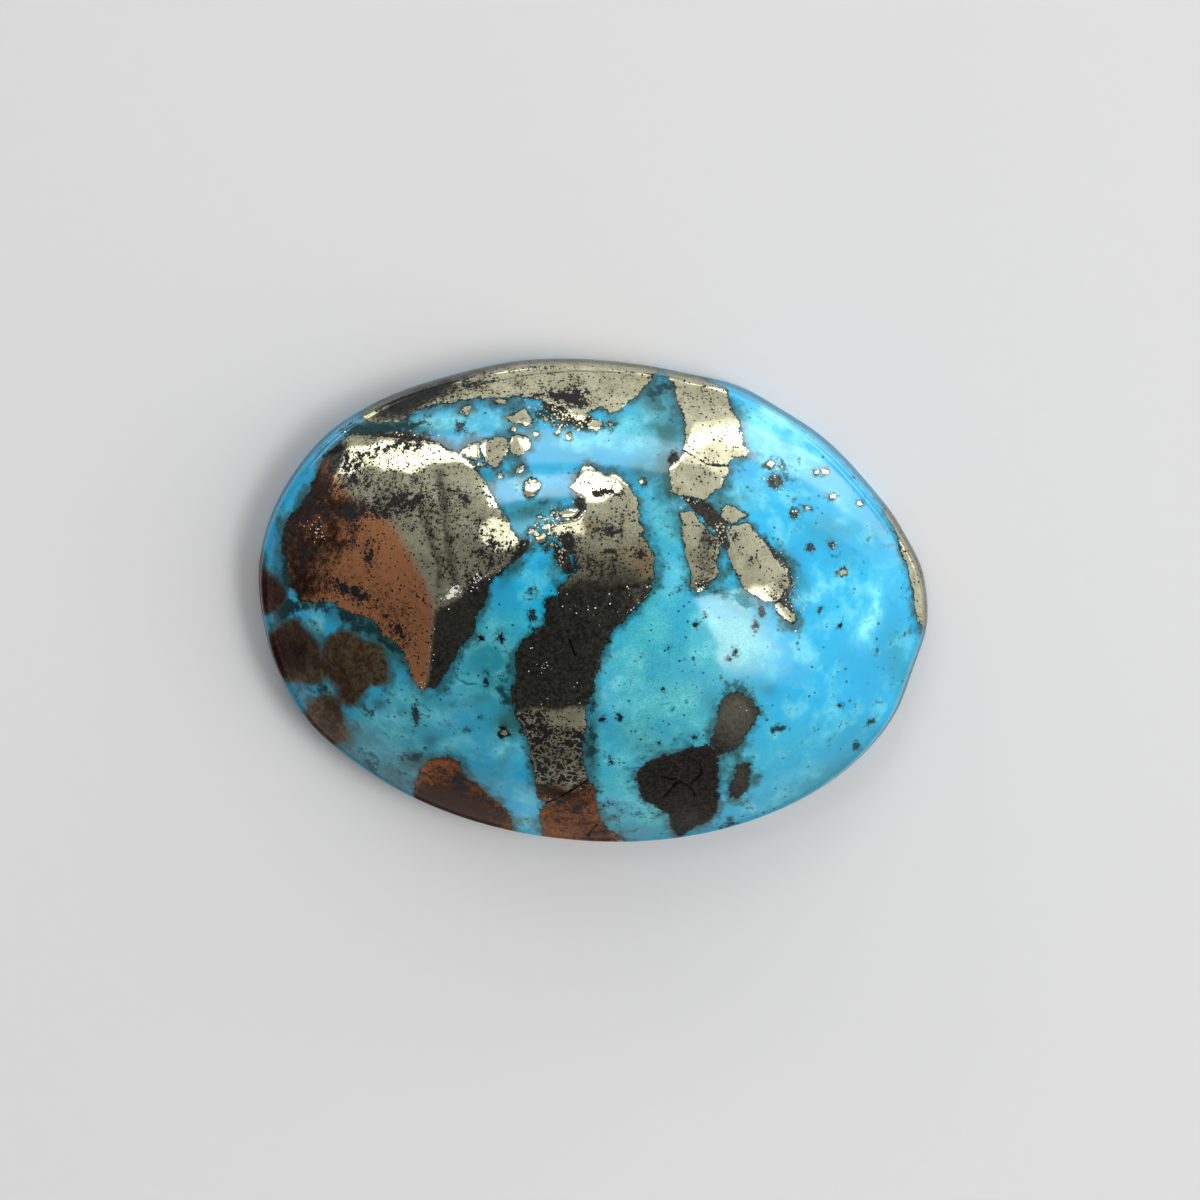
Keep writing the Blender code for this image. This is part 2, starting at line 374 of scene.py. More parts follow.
# painted shade and painted dark reflections in the metal, softly edged
PAINTED_SHADE_PLACES = (
    (600, 606, 90, 30, 0, 0.75), (470, 815, 60, 20, -22, 0.95), (570, 812, 46, 26, 0, 0.45),
    (605, 838, 26, 14, 0, 0.60), (557, 754, 44, 26, 0, 0.40), (314, 480, 13, 46, -32, 1.1),
    (298, 560, 30, 50, 0, 0.80), (336, 536, 28, 30, 0, 0.55), (708, 548, 11, 30, 0, 0.50),
    (340, 506, 26, 12, 0, 0.65), (331, 474, 9, 22, -32, 1.0), (462, 782, 50, 22, -28, 0.45),
    (305, 590, 30, 14, 0, 0.35), (640, 595, 30, 14, 0, 0.55), (430, 806, 34, 20, 0, 0.70),
    (500, 556, 14, 14, 0, 0.35), (395, 432, 50, 5, 0, 0.5), (334, 446, 16, 7, -25, 0.7),
    (398, 408, 44, 18, 25, 0.75), (440, 388, 50, 12, 14, 0.60), (455, 372, 60, 8, 14, 0.60),
    (458, 532, 9, 50, 10, 0.20), (400, 625, 26, 20, -40, 0.25), (380, 590, 50, 20, -30, 0.20),
    (560, 794, 26, 6, -15, 0.7), (607, 474, 22, 5, 8, 0.55),
)
# painted shade in streaks along the wing's folds
FOLD_SHADE_LINES = (
    ((441, 474), (444, 492), (446, 508), (449, 540), (454, 568), (458, 584)),
    ((429, 522), (435, 547), (442, 568), (440, 586)),
)
# painted glints: bright white spots where facets would catch the light
PAINTED_GLINT_PLACES = (
    (457, 590, 10, 5, 38, 1.0), (479, 580, 7, 4, 48, 1.0), (451, 597, 5, 3, 20, 0.7),
    (424, 682, 1.5, 4, 0, 1.0), (652, 590, 9, 3, 50, 0.5), (638, 605, 10, 3, 45, 0.35),
    (590, 609, 16, 4, 0, 0.16), (584, 598, 28, 8, 0, 0.04), (578, 704, 30, 4, 0, 0.10),
    (675, 470, 3, 16, 0, 0.5), (688, 457, 12, 2.5, -25, 0.5), (742, 450, 8, 6, 0, 0.4),
    (545, 668, 7, 4, 0, 0.35), (531, 646, 4, 3, 0, 0.4), (703, 587, 9, 4, 0, 0.5),
    (410, 434, 26, 5, 8, 0.35), (505, 710, 8, 3, 0, 0.2), (562, 796, 20, 3, 25, 0.1),
    (500, 574, 10, 3, 25, 0.3), (320, 533, 9, 5, -50, 0.55),
)
# straw yellow tarnish on the brassy metal
TARNISHED_PLACES = (
    (645, 562, 12, 18, 0, 0.75), (592, 526, 10, 8, 0, 0.45), (610, 560, 30, 14, 0, 0.40),
    (420, 512, 24, 10, -10, 0.25), (560, 745, 26, 30, 0, 0.35), (740, 460, 12, 8, 0, 0.2),
)
# painted copper reflection, darker and browner towards the lower edge
DARKER_REFLECTION_PLACES = ((462, 795, 70, 42, -35, 1.4), (588, 815, 60, 42, 0, 1.4))
# patches of painted copper reflection that cover the pyrite where the two overlap
COPPER_REFLECTION_PATCHES = {
    "left wing": (
        (322, 450), (332, 470), (345, 490), (356, 502), (370, 509), (387, 517), (401, 535),
        (414, 558), (427, 582), (435, 606), (436, 630), (432, 660), (427, 700), (400, 665),
        (370, 625), (330, 610), (280, 600), (265, 550), (285, 500), (310, 455),
    ),
    "column foot": (
        (538, 800), (548, 803), (562, 797), (576, 788), (590, 778), (605, 790), (612, 815),
        (640, 900), (540, 900), (535, 825),
    ),
    "column waist": ((532, 782), (545, 786), (560, 783), (568, 790), (552, 803), (535, 802)),
    "bottom left foot": ((400, 750), (530, 750), (530, 890), (390, 860)),
}
# dark grainy pyrite: partly its own granular texture and partly a painted dark reflection
DARK_GRAIN_AND_REFLECTION_PATCHES = {
    "column": (
        (540, 600), (560, 592), (580, 590), (600, 592), (625, 589), (660, 584), (655, 600),
        (625, 630), (612, 650), (600, 690), (594, 707), (575, 707), (560, 711), (540, 708),
        (520, 712), (505, 702), (505, 680), (512, 640), (540, 615),
    ),
    "wing wedge": (
        (434, 640), (437, 612), (449, 604), (464, 597), (478, 582), (496, 574), (515, 572),
        (510, 600), (480, 650), (445, 700), (425, 705), (432, 668),
    ),
}
# where pyrite is left only as a fine web
LATTICE_PATCHES = {
    "below the block": (
        (512, 706), (530, 710), (552, 711), (551, 722), (556, 728), (572, 729), (592, 727),
        (592, 770), (596, 800), (568, 786), (548, 796), (530, 800), (520, 740),
    ),
}
MM_PER_PIXEL = 1000.0 / PIXELS_PER_METRE
MARKING_REACH = 4.0
FAR_AWAY = 1e9
MOST_PAINTED_SHADE = 1.6
MOST_PAINTED_GLINT = 1.5


def line_distance(points, start, end):
    """Distance of each place from a straight stretch."""
    start = np.asarray(start, float)
    run = np.asarray(end, float) - start
    share = np.clip((points - start) @ run / (run @ run), 0.0, 1.0)
    return np.hypot(*(points - start - share[:, None] * run).T)


def patch_depth(points, outline):
    """Depth of each place inside a closed outline, negative outside it."""
    corners = np.array(outline, float)
    nearest = np.full(len(points), FAR_AWAY)
    inside = np.zeros(len(points), bool)
    for start, end in zip(corners, np.roll(corners, -1, axis=0)):
        nearest = np.minimum(nearest, line_distance(points, start, end))
        crosses = (start[1] > points[:, 1]) != (end[1] > points[:, 1])
        rise = end[1] - start[1] if end[1] != start[1] else 1.0
        meets = start[0] + (points[:, 1] - start[1]) * (end[0] - start[0]) / rise
        inside ^= crosses & (points[:, 0] < meets)
    return np.where(inside, nearest, -nearest)


def grain_depth(points, grain):
    """Depth of each place inside a small upright ellipse."""
    x, y, half_length, half_width = grain
    reach = np.hypot((points[:, 0] - x) / half_length, (points[:, 1] - y) / half_width)
    return (1.0 - reach) * min(half_length, half_width)


def deepest(patches, grains=()):
    """Depth of every vertex in millimetres inside the patches or grains that hold it."""
    depth = np.full(len(places), -FAR_AWAY)
    for outline in patches.values():
        depth = np.maximum(depth, patch_depth(places, outline))
    for grain in grains:
        depth = np.maximum(depth, grain_depth(places, grain))
    return np.clip(depth * MM_PER_PIXEL, -MARKING_REACH, MARKING_REACH)


def soft_places(blots, most=1.0):
    """Strength of softly edged places at every vertex, up to a limit."""
    total = np.zeros(len(places))
    for x, y, half_length, half_width, turn, strength in blots:
        cosine, sine = math.cos(math.radians(turn)), math.sin(math.radians(turn))
        across, down = places[:, 0] - x, places[:, 1] - y
        along = (across * cosine - down * sine) / half_length
        aside = (across * sine + down * cosine) / half_width
        total += strength * np.exp(-(along**2 + aside**2))
    return np.clip(total, 0.0, most)


def nearest_line(lines):
    """Distance of every vertex in millimetres from the nearest of several lines."""
    near = np.full(len(places), FAR_AWAY)
    for line in lines:
        for start, end in zip(line, line[1:]):
            near = np.minimum(near, line_distance(places, start, end))
    return np.clip(near * MM_PER_PIXEL, 0.0, MARKING_REACH)


markings["pyrite_depth"] = deepest(PYRITE_PATCHES, PYRITE_GRAINS)
markings["copper_reflection_depth"] = deepest(COPPER_REFLECTION_PATCHES)
markings["dark_grain_and_reflection_depth"] = deepest(DARK_GRAIN_AND_REFLECTION_PATCHES)
markings["pitted"] = soft_places(PITTED_PLACES, math.inf)
markings["painted_shade"] = soft_places(PAINTED_SHADE_PLACES, MOST_PAINTED_SHADE)
markings["tarnished"] = soft_places(TARNISHED_PLACES)
markings["darker_reflection"] = soft_places(DARKER_REFLECTION_PLACES)
markings["lattice_depth"] = deepest(LATTICE_PATCHES)
markings["fold_shade_near"] = nearest_line(FOLD_SHADE_LINES)
markings["painted_glints"] = soft_places(PAINTED_GLINT_PLACES, MOST_PAINTED_GLINT)


# The dark matrix
# Dull dark limonite fills the gaps between the grains. Some of it lies bare with open cracks,
# and some is buried under a thin skin of turquoise that blurs its edge.
MATRIX_PATCHES = {
    "cracked dark": (
        (639, 774), (648, 764), (662, 758), (678, 755), (689, 748), (700, 748), (712, 744),
        (719, 752), (719, 762), (719, 777), (720, 795), (719, 811), (710, 820), (693, 829),
        (680, 835), (673, 828), (671, 814), (658, 807), (648, 802), (642, 792), (640, 783),
    ),
    "grey arm": (
        (714, 742), (719, 722), (724, 703), (732, 694), (742, 693), (751, 699), (762, 712),
        (757, 721), (750, 730), (745, 741), (736, 749), (719, 755),
    ),
    "small lens": (
        (741, 764), (751, 764), (752, 779), (747, 791), (738, 797), (732, 796), (733, 785),
        (738, 776),
    ),
    "band foot": (
        (545, 401), (550, 410), (558, 418), (570, 424), (583, 427), (592, 424), (592, 418),
        (583, 416), (572, 411), (561, 405), (551, 403),
    ),
    "between the leaves": (
        (684, 495), (700, 500), (714, 506), (723, 517), (730, 524), (727, 532), (730, 546),
        (723, 547), (717, 532), (704, 515), (692, 505),
    ),
    "leaf fringe": (
        (764, 537), (774, 548), (785, 561), (793, 573), (793, 588), (788, 600), (797, 614),
        (784, 608), (777, 601), (788, 590), (787, 575),
    ),
    "column crumbs": (
        (553, 541), (557, 548), (560, 560), (566, 570), (576, 574), (572, 560), (563, 548),
    ),
    "by the flake": ((578, 500), (586, 497), (587, 510), (580, 518), (572, 524), (580, 510)),
    "wing shoulder": (
        (514, 552), (521, 543), (528, 540), (534, 543), (526, 551), (512, 566), (500, 576),
        (494, 574), (508, 563),
    ),
    "wing crust": ((372, 437), (392, 432), (412, 434), (430, 438), (440, 444), (400, 444)),
}
BURIED_PATCHES = {
    "left brown": (
        (250, 640), (268, 638), (278, 631), (288, 622), (300, 619), (307, 627), (314, 638),
        (321, 646), (325, 660), (334, 675), (321, 682), (305, 683), (290, 682), (275, 677),
        (255, 668),
    ),
    "olive brown": (
        (325, 650), (330, 636), (342, 630), (353, 634), (365, 641), (380, 648), (387, 658),
        (391, 672), (388, 683), (374, 686), (365, 693), (357, 702), (348, 705), (342, 697),
        (339, 686), (330, 677), (322, 662),
    ),
    "lower left": (
        (310, 706), (321, 696), (333, 696), (342, 702), (345, 715), (350, 729), (352, 738),
        (344, 743), (335, 745), (322, 765), (300, 745), (308, 714),
    ),
    "rusty left edge": (
        (225, 555), (260, 557), (267, 569), (276, 578), (286, 588), (286, 598), (280, 609),
        (267, 615), (225, 620),
    ),
}
# single black specks: middle, half length and half width in pixels
MATRIX_GRAINS = (
    (842, 626, 1.5, 1.5), (737, 653, 2, 2.5), (731, 660, 2, 2), (736, 648, 1, 1),
    (503, 637, 1, 2), (483, 638, 1.5, 1), (483, 717, 1, 1), (469, 729, 1.2, 1),
    (612, 804, 4, 1), (613, 761, 1, 1.5), (661, 744, 1, 1), (697, 737, 1.5, 1),
    (506, 733, 4.5, 4.5), (677, 460, 5, 6), (533, 628, 1.2, 1.2), (488, 680, 1.2, 3),
    (604, 720, 1.5, 1.2), (621, 718, 1.5, 1.5),
    (665, 690, 1, 1), (709, 617, 1, 1), (842, 705, 1, 1), (697, 625, 1, 1), (671, 648, 1, 1),
)
# ragged brown grey clusters: middle, half length and half width in pixels
SPECK_GRAINS = (
    (776, 481, 7, 6), (796, 514, 4, 4), (812, 548, 3, 3), (834, 545, 4, 3), (834, 497, 4, 4),
    (844, 572, 4, 4), (822, 610, 2, 2.5), (763, 614, 2.5, 5), (758, 625, 3, 4),
    (417, 714, 2, 7), (462, 427, 5, 5), (428, 435, 4, 3), (770, 465, 3, 3),
    (540, 631, 3, 3), (646, 482, 4, 4), (566, 425, 6, 3), (556, 533, 3, 4),
    (781, 597, 5, 6), (535, 617, 4, 5),
)
# crumbs of pyrite scattered in matrix and turquoise
CRUMB_PLACES = (
    (570, 417, 24, 9, -15, 1.0), (556, 522, 18, 9, 40, 0.9), (790, 582, 6, 26, 20, 0.7),
    (722, 532, 10, 14, 0, 0.5), (692, 502, 14, 6, 0, 0.4), (563, 555, 6, 16, 0, 0.8),
    (408, 435, 34, 3, 0, 0.3), (735, 707, 10, 10, 0, 0.1), (530, 543, 16, 6, 20, 0.4),
    (776, 481, 8, 8, 0, 0.5), (796, 514, 6, 6, 0, 0.5), (834, 545, 8, 6, 0, 0.5),
)
# purplish, rusty and ash grey matrix
WARM_PLACES = (
    (262, 590, 30, 34, 0, 1.0), (288, 654, 34, 30, 0, 1.0), (345, 690, 16, 16, 0, 0.3),
    (332, 722, 18, 26, 0, 0.65),
)
RUSTY_PLACES = (
    (262, 590, 26, 30, 0, 0.9), (276, 642, 14, 14, 0, 1.0), (367, 678, 6, 4, 0, 1.0),
    (352, 692, 14, 12, 0, 0.5), (300, 660, 40, 30, 0, 0.25), (345, 745, 10, 5, 0, 0.5),
)
ASH_PLACES = (
    (738, 714, 24, 30, 0, 1.1), (743, 780, 14, 20, 0, 0.45), (533, 616, 10, 10, 0, 0.5),
    (690, 820, 20, 10, 0, 0.25), (790, 582, 8, 30, 20, 0.5), (800, 520, 80, 60, 0, 0.6),
    (500, 360, 140, 16, 0, 0.6), (462, 622, 26, 46, 36, 0.6),
)
# open cracks: half width in pixels, then the run
CRACK_LINES = {
    "across the right band": (
        0.8, ((684, 450), (690, 453), (700, 459), (708, 464), (718, 466), (730, 466)),
    ),
    "dark patch, upper": (
        1.0, ((682, 755), (689, 756), (696, 760), (703, 767), (703, 775), (697, 780), (693, 783)),
    ),
    "dark patch, left": (1.0, ((655, 772), (659, 776), (667, 778), (673, 780), (679, 779))),
    "dark patch, fork": (
        1.2, ((666, 797), (672, 790), (677, 784), (681, 782), (689, 786), (695, 791), (697, 797)),
    ),
    "column": (0.9, ((570, 635), (573, 645), (577, 655))),
    "column foot": (0.8, ((547, 804), (562, 797), (576, 789), (590, 780))),
    "foot fork": (0.8, ((590, 836), (594, 830), (599, 825))),
    "between the first nuggets": (0.5, ((482, 444), (483, 452), (485, 460))),
    "between the last nuggets": (0.5, ((512, 436), (512, 445), (513, 454))),
}
# painted shade: a dark line painted along the girdle's edge where it crosses the top band
GIRDLE_SHADE_LINE = ((440, 398), (469, 388), (503, 380), (538, 374), (580, 371), (646, 373), (709, 380))

markings["matrix_depth"] = deepest(MATRIX_PATCHES, MATRIX_GRAINS)
markings["speck_depth"] = deepest({}, SPECK_GRAINS)
markings["patch_depth"] = np.maximum(deepest(PYRITE_PATCHES), deepest(MATRIX_PATCHES))
markings["buried_depth"] = deepest(BURIED_PATCHES)
for marking, blots in (
    ("crumbs", CRUMB_PLACES), ("warm", WARM_PLACES), ("rusty", RUSTY_PLACES), ("ash", ASH_PLACES),
):
    markings[marking] = soft_places(blots)
crack_edges = [
    nearest_line([run]) - half_width * MM_PER_PIXEL for half_width, run in CRACK_LINES.values()
]
markings["crack_near"] = np.min(crack_edges, axis=0)
markings["girdle_shade_near"] = nearest_line([GIRDLE_SHADE_LINE])


# The turquoise
# The body of the stone: sky blue at its right end, greener in the middle, partly duller and partly
# painted shade at its lower left and rim, with pale clouds and some painted highlight, and stained
# teal where it meets pyrite and matrix.
CYAN_PLACES = (
    (655, 660, 60, 120, 0, 1.0), (650, 800, 70, 40, 0, 0.9), (700, 720, 50, 60, 0, 0.5),
    (790, 760, 60, 36, 20, 0.45), (440, 730, 80, 50, 0, 0.5), (640, 430, 40, 30, 0, 0.5),
    (530, 520, 30, 20, 0, 0.5), (400, 690, 60, 30, 0, 0.4), (668, 540, 16, 30, 0, 0.5),
    (490, 640, 50, 60, 0, 0.6), (740, 500, 30, 16, 0, 0.4), (742, 640, 28, 46, 0, 1.0),
)
DEEP_PLACES = (
    (505, 670, 30, 46, 0, 0.9), (480, 660, 20, 30, 0, 0.5), (800, 480, 30, 10, -30, 0.3),
    (580, 452, 26, 10, -10, 0.35), (880, 530, 14, 20, 0, 0.35), (830, 530, 40, 16, 0, 0.25),
    (900, 660, 16, 40, 10, 0.6), (620, 730, 26, 16, 0, 0.3), (690, 735, 26, 10, 0, 0.4),
    (860, 730, 30, 16, 30, 0.35), (590, 640, 6, 30, 20, 0.3), (835, 528, 34, 16, 0, 0.30),
    (850, 565, 24, 14, 20, 0.25),
)
TEAL_PLACES = (
    (668, 480, 17, 44, 0, 0.95), (658, 392, 22, 20, 0, 1.0), (668, 425, 22, 20, 0, 0.7),
    (640, 472, 14, 12, 0, 0.7), (520, 712, 12, 24, 0, 0.9), (405, 428, 36, 8, 0, 0.9),
    (520, 512, 20, 12, 0, 0.5), (373, 425, 20, 14, 30, 1.0), (720, 590, 16, 8, 0, 0.5),
    (735, 603, 26, 7, -30, 0.5), (592, 756, 8, 30, 0, 0.8), (395, 650, 30, 10, -40, 0.7),
    (280, 560, 6, 24, 0, 0.8), (700, 440, 4, 4, 0, 0.2), (712, 700, 10, 14, 0, 0.3),
    (730, 750, 12, 16, 0, 0.5), (655, 750, 26, 8, 0, 0.35), (715, 560, 8, 20, 0, 0.6),
    (275, 625, 14, 8, 0, 0.6), (540, 436, 20, 5, 0, 0.2), (545, 505, 24, 10, 30, 0.7),
    (735, 500, 20, 6, 10, 0.3), (590, 820, 8, 12, 0, 0.5), (360, 622, 36, 12, -26, 1.0),
    (396, 650, 26, 10, -42, 0.9), (512, 575, 20, 6, 50, 0.7), (596, 735, 6, 40, 0, 0.6),
    (556, 575, 10, 14, 30, 0.6), (505, 725, 12, 14, 0, 0.8), (400, 780, 16, 14, 0, 0.6),
    (800, 575, 8, 26, 25, 0.5), (720, 500, 10, 10, 0, 0.7), (480, 472, 30, 6, -20, 0.5),
    (655, 590, 5, 12, 0, 0.4), (550, 410, 22, 7, -10, 0.6), (465, 405, 40, 4, 5, 0.5),
    (722, 745, 5, 40, 15, 0.5), (770, 690, 10, 8, 0, 0.4), (382, 704, 8, 5, 0, 0.8),
    (404, 713, 6, 4, 0, 0.5), (434, 741, 9, 6, 0, 0.7), (370, 737, 12, 4, -20, 0.5),
    (416, 758, 16, 8, 0, 0.8), (394, 774, 14, 7, -30, 0.6), (430, 700, 8, 8, 0, 0.4),
    (452, 705, 12, 5, 0, 0.4), (480, 700, 16, 6, 10, 0.4), (400, 795, 12, 8, -30, 0.6),
    (640, 730, 20, 8, 0, 0.35), (600, 690, 5, 26, 10, 0.35), (650, 745, 20, 6, -10, 0.4),
    (420, 765, 20, 12, -10, 0.5), (506, 760, 6, 20, -30, 0.3), (322, 640, 6, 12, 0, 0.3),
)
# duller blue, partly its own colour and partly painted shade, at the lower left and along the lower
# and right rim
DULL_AND_SHADE_PLACES = (
    (850, 765, 60, 18, 32, 0.5), (650, 832, 70, 12, 5, 0.5), (800, 790, 60, 16, 28, 0.3),
    (620, 812, 16, 10, 0, 0.4),
    (360, 770, 70, 36, -40, 0.75), (290, 690, 20, 50, -20, 0.6), (400, 735, 60, 30, 0, 0.35),
    (430, 835, 110, 26, -25, 0.7), (560, 855, 130, 20, 0, 0.6), (760, 835, 120, 18, 25, 0.55),
    (925, 690, 14, 80, -15, 0.7), (480, 780, 40, 26, 0, 0.4),
)
# pale clouds, with painted highlight where the light bands cross the top and the upper right rim
PALE_PLACES = (
    (590, 438, 70, 10, 0, 0.40), (478, 421, 56, 11, 0, 0.70), (876, 608, 7, 30, -14, 0.6),
    (866, 632, 16, 8, 40, 0.50), (800, 432, 40, 16, -35, 0.40), (760, 430, 26, 24, 0, 0.45),
    (655, 408, 10, 8, 0, 0.8), (680, 575, 16, 20, 0, 0.30), (640, 800, 26, 12, 0, 0.20),
    (800, 778, 40, 14, 30, 0.15), (640, 420, 14, 10, 0, 0.5), (742, 500, 16, 18, 0, 0.45),
    (902, 560, 8, 36, -12, 0.25), (318, 624, 9, 16, 10, 0.55), (420, 425, 30, 5, 0, 0.3),
    (822, 592, 20, 9, 20, 0.40), (600, 710, 8, 30, 0, 0.15), (530, 480, 20, 10, 0, 0.30),
    (780, 600, 14, 10, 0, 0.20), (800, 655, 30, 12, 0, 0.15), (440, 425, 26, 8, 0, 0.3),
    (845, 520, 10, 4, 20, 0.3), (610, 690, 12, 30, 0, 0.3), (640, 800, 40, 12, 0, 0.25),
    (392, 724, 26, 16, -20, 0.55), (440, 716, 24, 9, 0, 0.50), (456, 744, 34, 9, 10, 0.45),
    (510, 752, 14, 26, -30, 0.50), (535, 800, 12, 26, -35, 0.50), (336, 690, 16, 6, 0, 0.50),
    (470, 688, 20, 14, 0, 0.30), (420, 690, 14, 12, 0, 0.45), (375, 752, 22, 8, -30, 0.35),
    (420, 775, 14, 5, -20, 0.5), (300, 625, 6, 8, 0, 0.4), (550, 838, 26, 6, 15, 0.4),
    (640, 700, 20, 16, 0, 0.25), (625, 655, 12, 16, 0, 0.25), (660, 620, 10, 16, 0, 0.25),
)
MURKY_PLACES = (
    (386, 429, 38, 8, 8, 1.0), (358, 430, 14, 10, 30, 0.8), (548, 410, 18, 9, 0, 0.9),
    (592, 430, 16, 5, 0, 0.7), (546, 530, 18, 12, 30, 0.8), (540, 505, 14, 6, 40, 0.6),
    (362, 626, 30, 9, -26, 0.7), (394, 648, 22, 7, -42, 0.65), (338, 610, 20, 7, -10, 0.7),
    (282, 612, 9, 9, 0, 0.9), (290, 570, 6, 30, 0, 0.8), (298, 607, 10, 8, 0, 0.9),
    (305, 690, 16, 5, 0, 0.5), (322, 690, 10, 10, 0, 0.4), (420, 718, 10, 14, 0, 0.3),
    (410, 760, 12, 16, 0, 0.5), (370, 765, 26, 12, -35, 0.55), (507, 700, 8, 26, 0, 0.70),
    (785, 470, 26, 16, -20, 0.35), (800, 505, 10, 10, 0, 0.3), (720, 595, 16, 8, 0, 0.5),
    (742, 600, 22, 6, -30, 0.6), (780, 728, 12, 5, 0, 0.8), (856, 746, 10, 6, 0, 0.8),
    (734, 823, 10, 6, 0, 0.8), (640, 812, 26, 8, 0, 0.5), (605, 795, 10, 10, 0, 0.4),
    (668, 380, 8, 12, 0, 0.6), (655, 400, 8, 20, 0, 0.4), (380, 705, 8, 6, 0, 0.5),
    (594, 740, 5, 56, 0, 0.62), (600, 660, 5, 24, 20, 0.50), (540, 590, 8, 16, 30, 0.45),
    (690, 590, 10, 7, 0, 0.3), (740, 690, 14, 6, 0, 0.5), (726, 700, 8, 12, 0, 0.45),
    (872, 722, 6, 4, 0, 0.6), (434, 741, 5, 4, 0, 0.6), (418, 757, 8, 5, 0, 0.6),
    (796, 482, 7, 5, 0, 0.50), (751, 491, 6, 4, 0, 0.45), (838, 554, 8, 6, 0, 0.45),
    (833, 498, 7, 6, 0, 0.40), (744, 470, 6, 5, 0, 0.40), (811, 501, 5, 4, 0, 0.35),
)
# a faint healed crack at the right and a dark seam at the left
VEIN_LINE = ((766, 722), (785, 737), (805, 753), (815, 769), (819, 777))
SEAM_LINE = ((455, 660), (456, 671), (461, 680), (469, 684), (478, 684))

for marking, blots in (
    ("cyan", CYAN_PLACES), ("deep", DEEP_PLACES), ("teal", TEAL_PLACES),
    ("dull_and_shade", DULL_AND_SHADE_PLACES), ("pale", PALE_PLACES), ("murky", MURKY_PLACES),
):
    markings[marking] = soft_places(blots)
markings["vein_near"] = nearest_line([VEIN_LINE])
markings["seam_near"] = nearest_line([SEAM_LINE])


# The polished surface
# Polishing leaves hard pyrite a hair proud and wears soft matrix lower and rough. The wing
# keeps its folds, and cracks stay open as narrow grooves.
PYRITE_PROUD = 0.000008
MATRIX_WORN = 0.000015
CRACK_DEPTH = 0.000030
# start and end in metres along and across, half width, depth
FOLDS = (
    ((-0.00660, 0.00483), (-0.00603, 0.00314), 0.00050, 0.00006),
    ((-0.00603, 0.00314), (-0.00536, 0.00122), 0.00050, 0.00006),
    ((-0.00710, 0.00355), (-0.00613, 0.00132), 0.00044, 0.00005),
)
# middle in metres along and across, radius, depth
WORN_HOLLOWS = (
    (0.00451, -0.00708, 0.00190, 0.00012),
    (0.00668, -0.00351, 0.00110, 0.00006),
    (-0.00938, -0.00301, 0.00120, 0.00006),
    (-0.01205, -0.00324, 0.00120, 0.00006),
)
# where each relief starts and is full, in millimetres inside the marking's edge
PYRITE_EDGE = (-0.04, 0.08)
MATRIX_EDGE = (-0.02, 0.20)
CHARCOAL_EDGE = (-0.10, 0.30)
CRACK_EDGE = (-0.05, 0.02)
# share of the oval's radius over which the relief fades out at the rim
RIM_FADE = 0.06
GRANULE_SIZE = 0.00030
GRANULE_HEIGHT = 0.000010
# long low waves: length in metres, direction in degrees, start, height in metres
POLISH_WAVES = (
    (0.0061, 20.0, 0.3, 0.0000020), (0.0047, 95.0, 1.9, 0.0000018),
    (0.0083, 150.0, 4.1, 0.0000030), (0.0034, 60.0, 2.7, 0.0000010),
)
PYRITE_WAVES = (
    (0.0019, 10.0, 0.9, 0.0000050), (0.0015, 75.0, 2.2, 0.0000040),
    (0.0024, 130.0, 5.0, 0.0000070), (0.0011, 165.0, 3.3, 0.0000022),
)


def soft_step(values, low, high):
    """0 below low, 1 above high and a smooth rise between."""
    share = np.clip((values - low) / (high - low), 0.0, 1.0)
    return share * share * (3.0 - 2.0 * share)


def waves(wave_list):
    """Height of long low waves at every vertex."""
    total = np.zeros(len(stone_points))
    for length, direction, start, height in wave_list:
        way = math.radians(direction)
        run = stone_points[:, 0] * math.cos(way) + stone_points[:, 1] * math.sin(way)
        total += height * np.sin(math.tau * run / length + start)
    return total


fold_drop = np.zeros(len(stone_points))
for start, end, half_width, depth in FOLDS:
    near = line_distance(stone_points[:, :2], start, end)
    fold_drop = np.maximum(fold_drop, depth * np.exp(-((near / half_width) ** 2)))
hollow_drop = np.zeros(len(stone_points))
for middle_x, middle_y, radius, depth in WORN_HOLLOWS:
    near = np.hypot(stone_points[:, 0] - middle_x, stone_points[:, 1] - middle_y)
    hollow_drop += depth * np.exp(-((near / radius) ** 4))
in_pyrite = soft_step(markings["pyrite_depth"], *PYRITE_EDGE)
in_matrix = soft_step(markings["matrix_depth"], *MATRIX_EDGE) * (1.0 - in_pyrite)
in_charcoal = soft_step(markings["dark_grain_and_reflection_depth"], *CHARCOAL_EDGE) * in_pyrite
granules = np.array([noise.noise(Vector(point) / GRANULE_SIZE) for point in stone_points])
crack_drop = CRACK_DEPTH * soft_step(-markings["crack_near"], *CRACK_EDGE) * in_matrix
relief = (
    PYRITE_PROUD * in_pyrite
    - MATRIX_WORN * in_matrix
    + GRANULE_HEIGHT * granules * np.maximum(in_matrix, in_charcoal)
    - crack_drop
    - fold_drop
    - hollow_drop
    + waves(POLISH_WAVES)
    + waves(PYRITE_WAVES) * in_pyrite
)
rim_share = np.hypot(stone_points[:, 0] * 2 / LENGTH, stone_points[:, 1] * 2 / WIDTH)
stone_points[:, 2] += np.where(on_dome, relief * soft_step(1.0 - rim_share, 0.0, RIM_FADE), 0.0)

# the solid has the middle of its length and width at the origin
for axis in range(2):
    stone_points[:, axis] -= (stone_points[:, axis].min() + stone_points[:, axis].max()) / 2
set_mesh_points(stone_mesh, stone_points)

stone_data = bpy.data.meshes.new("turquoise_cabochon")
stone_mesh.to_mesh(stone_data)
stone_mesh.free()
stone_data.shade_smooth()
for marking, values in markings.items():
    attribute = stone_data.attributes.new(marking, "FLOAT", "POINT")
    attribute.data.foreach_set("value", values.astype(np.float32))
stone = bpy.data.objects.new("turquoise_cabochon", stone_data)
bpy.context.scene.collection.objects.link(stone)
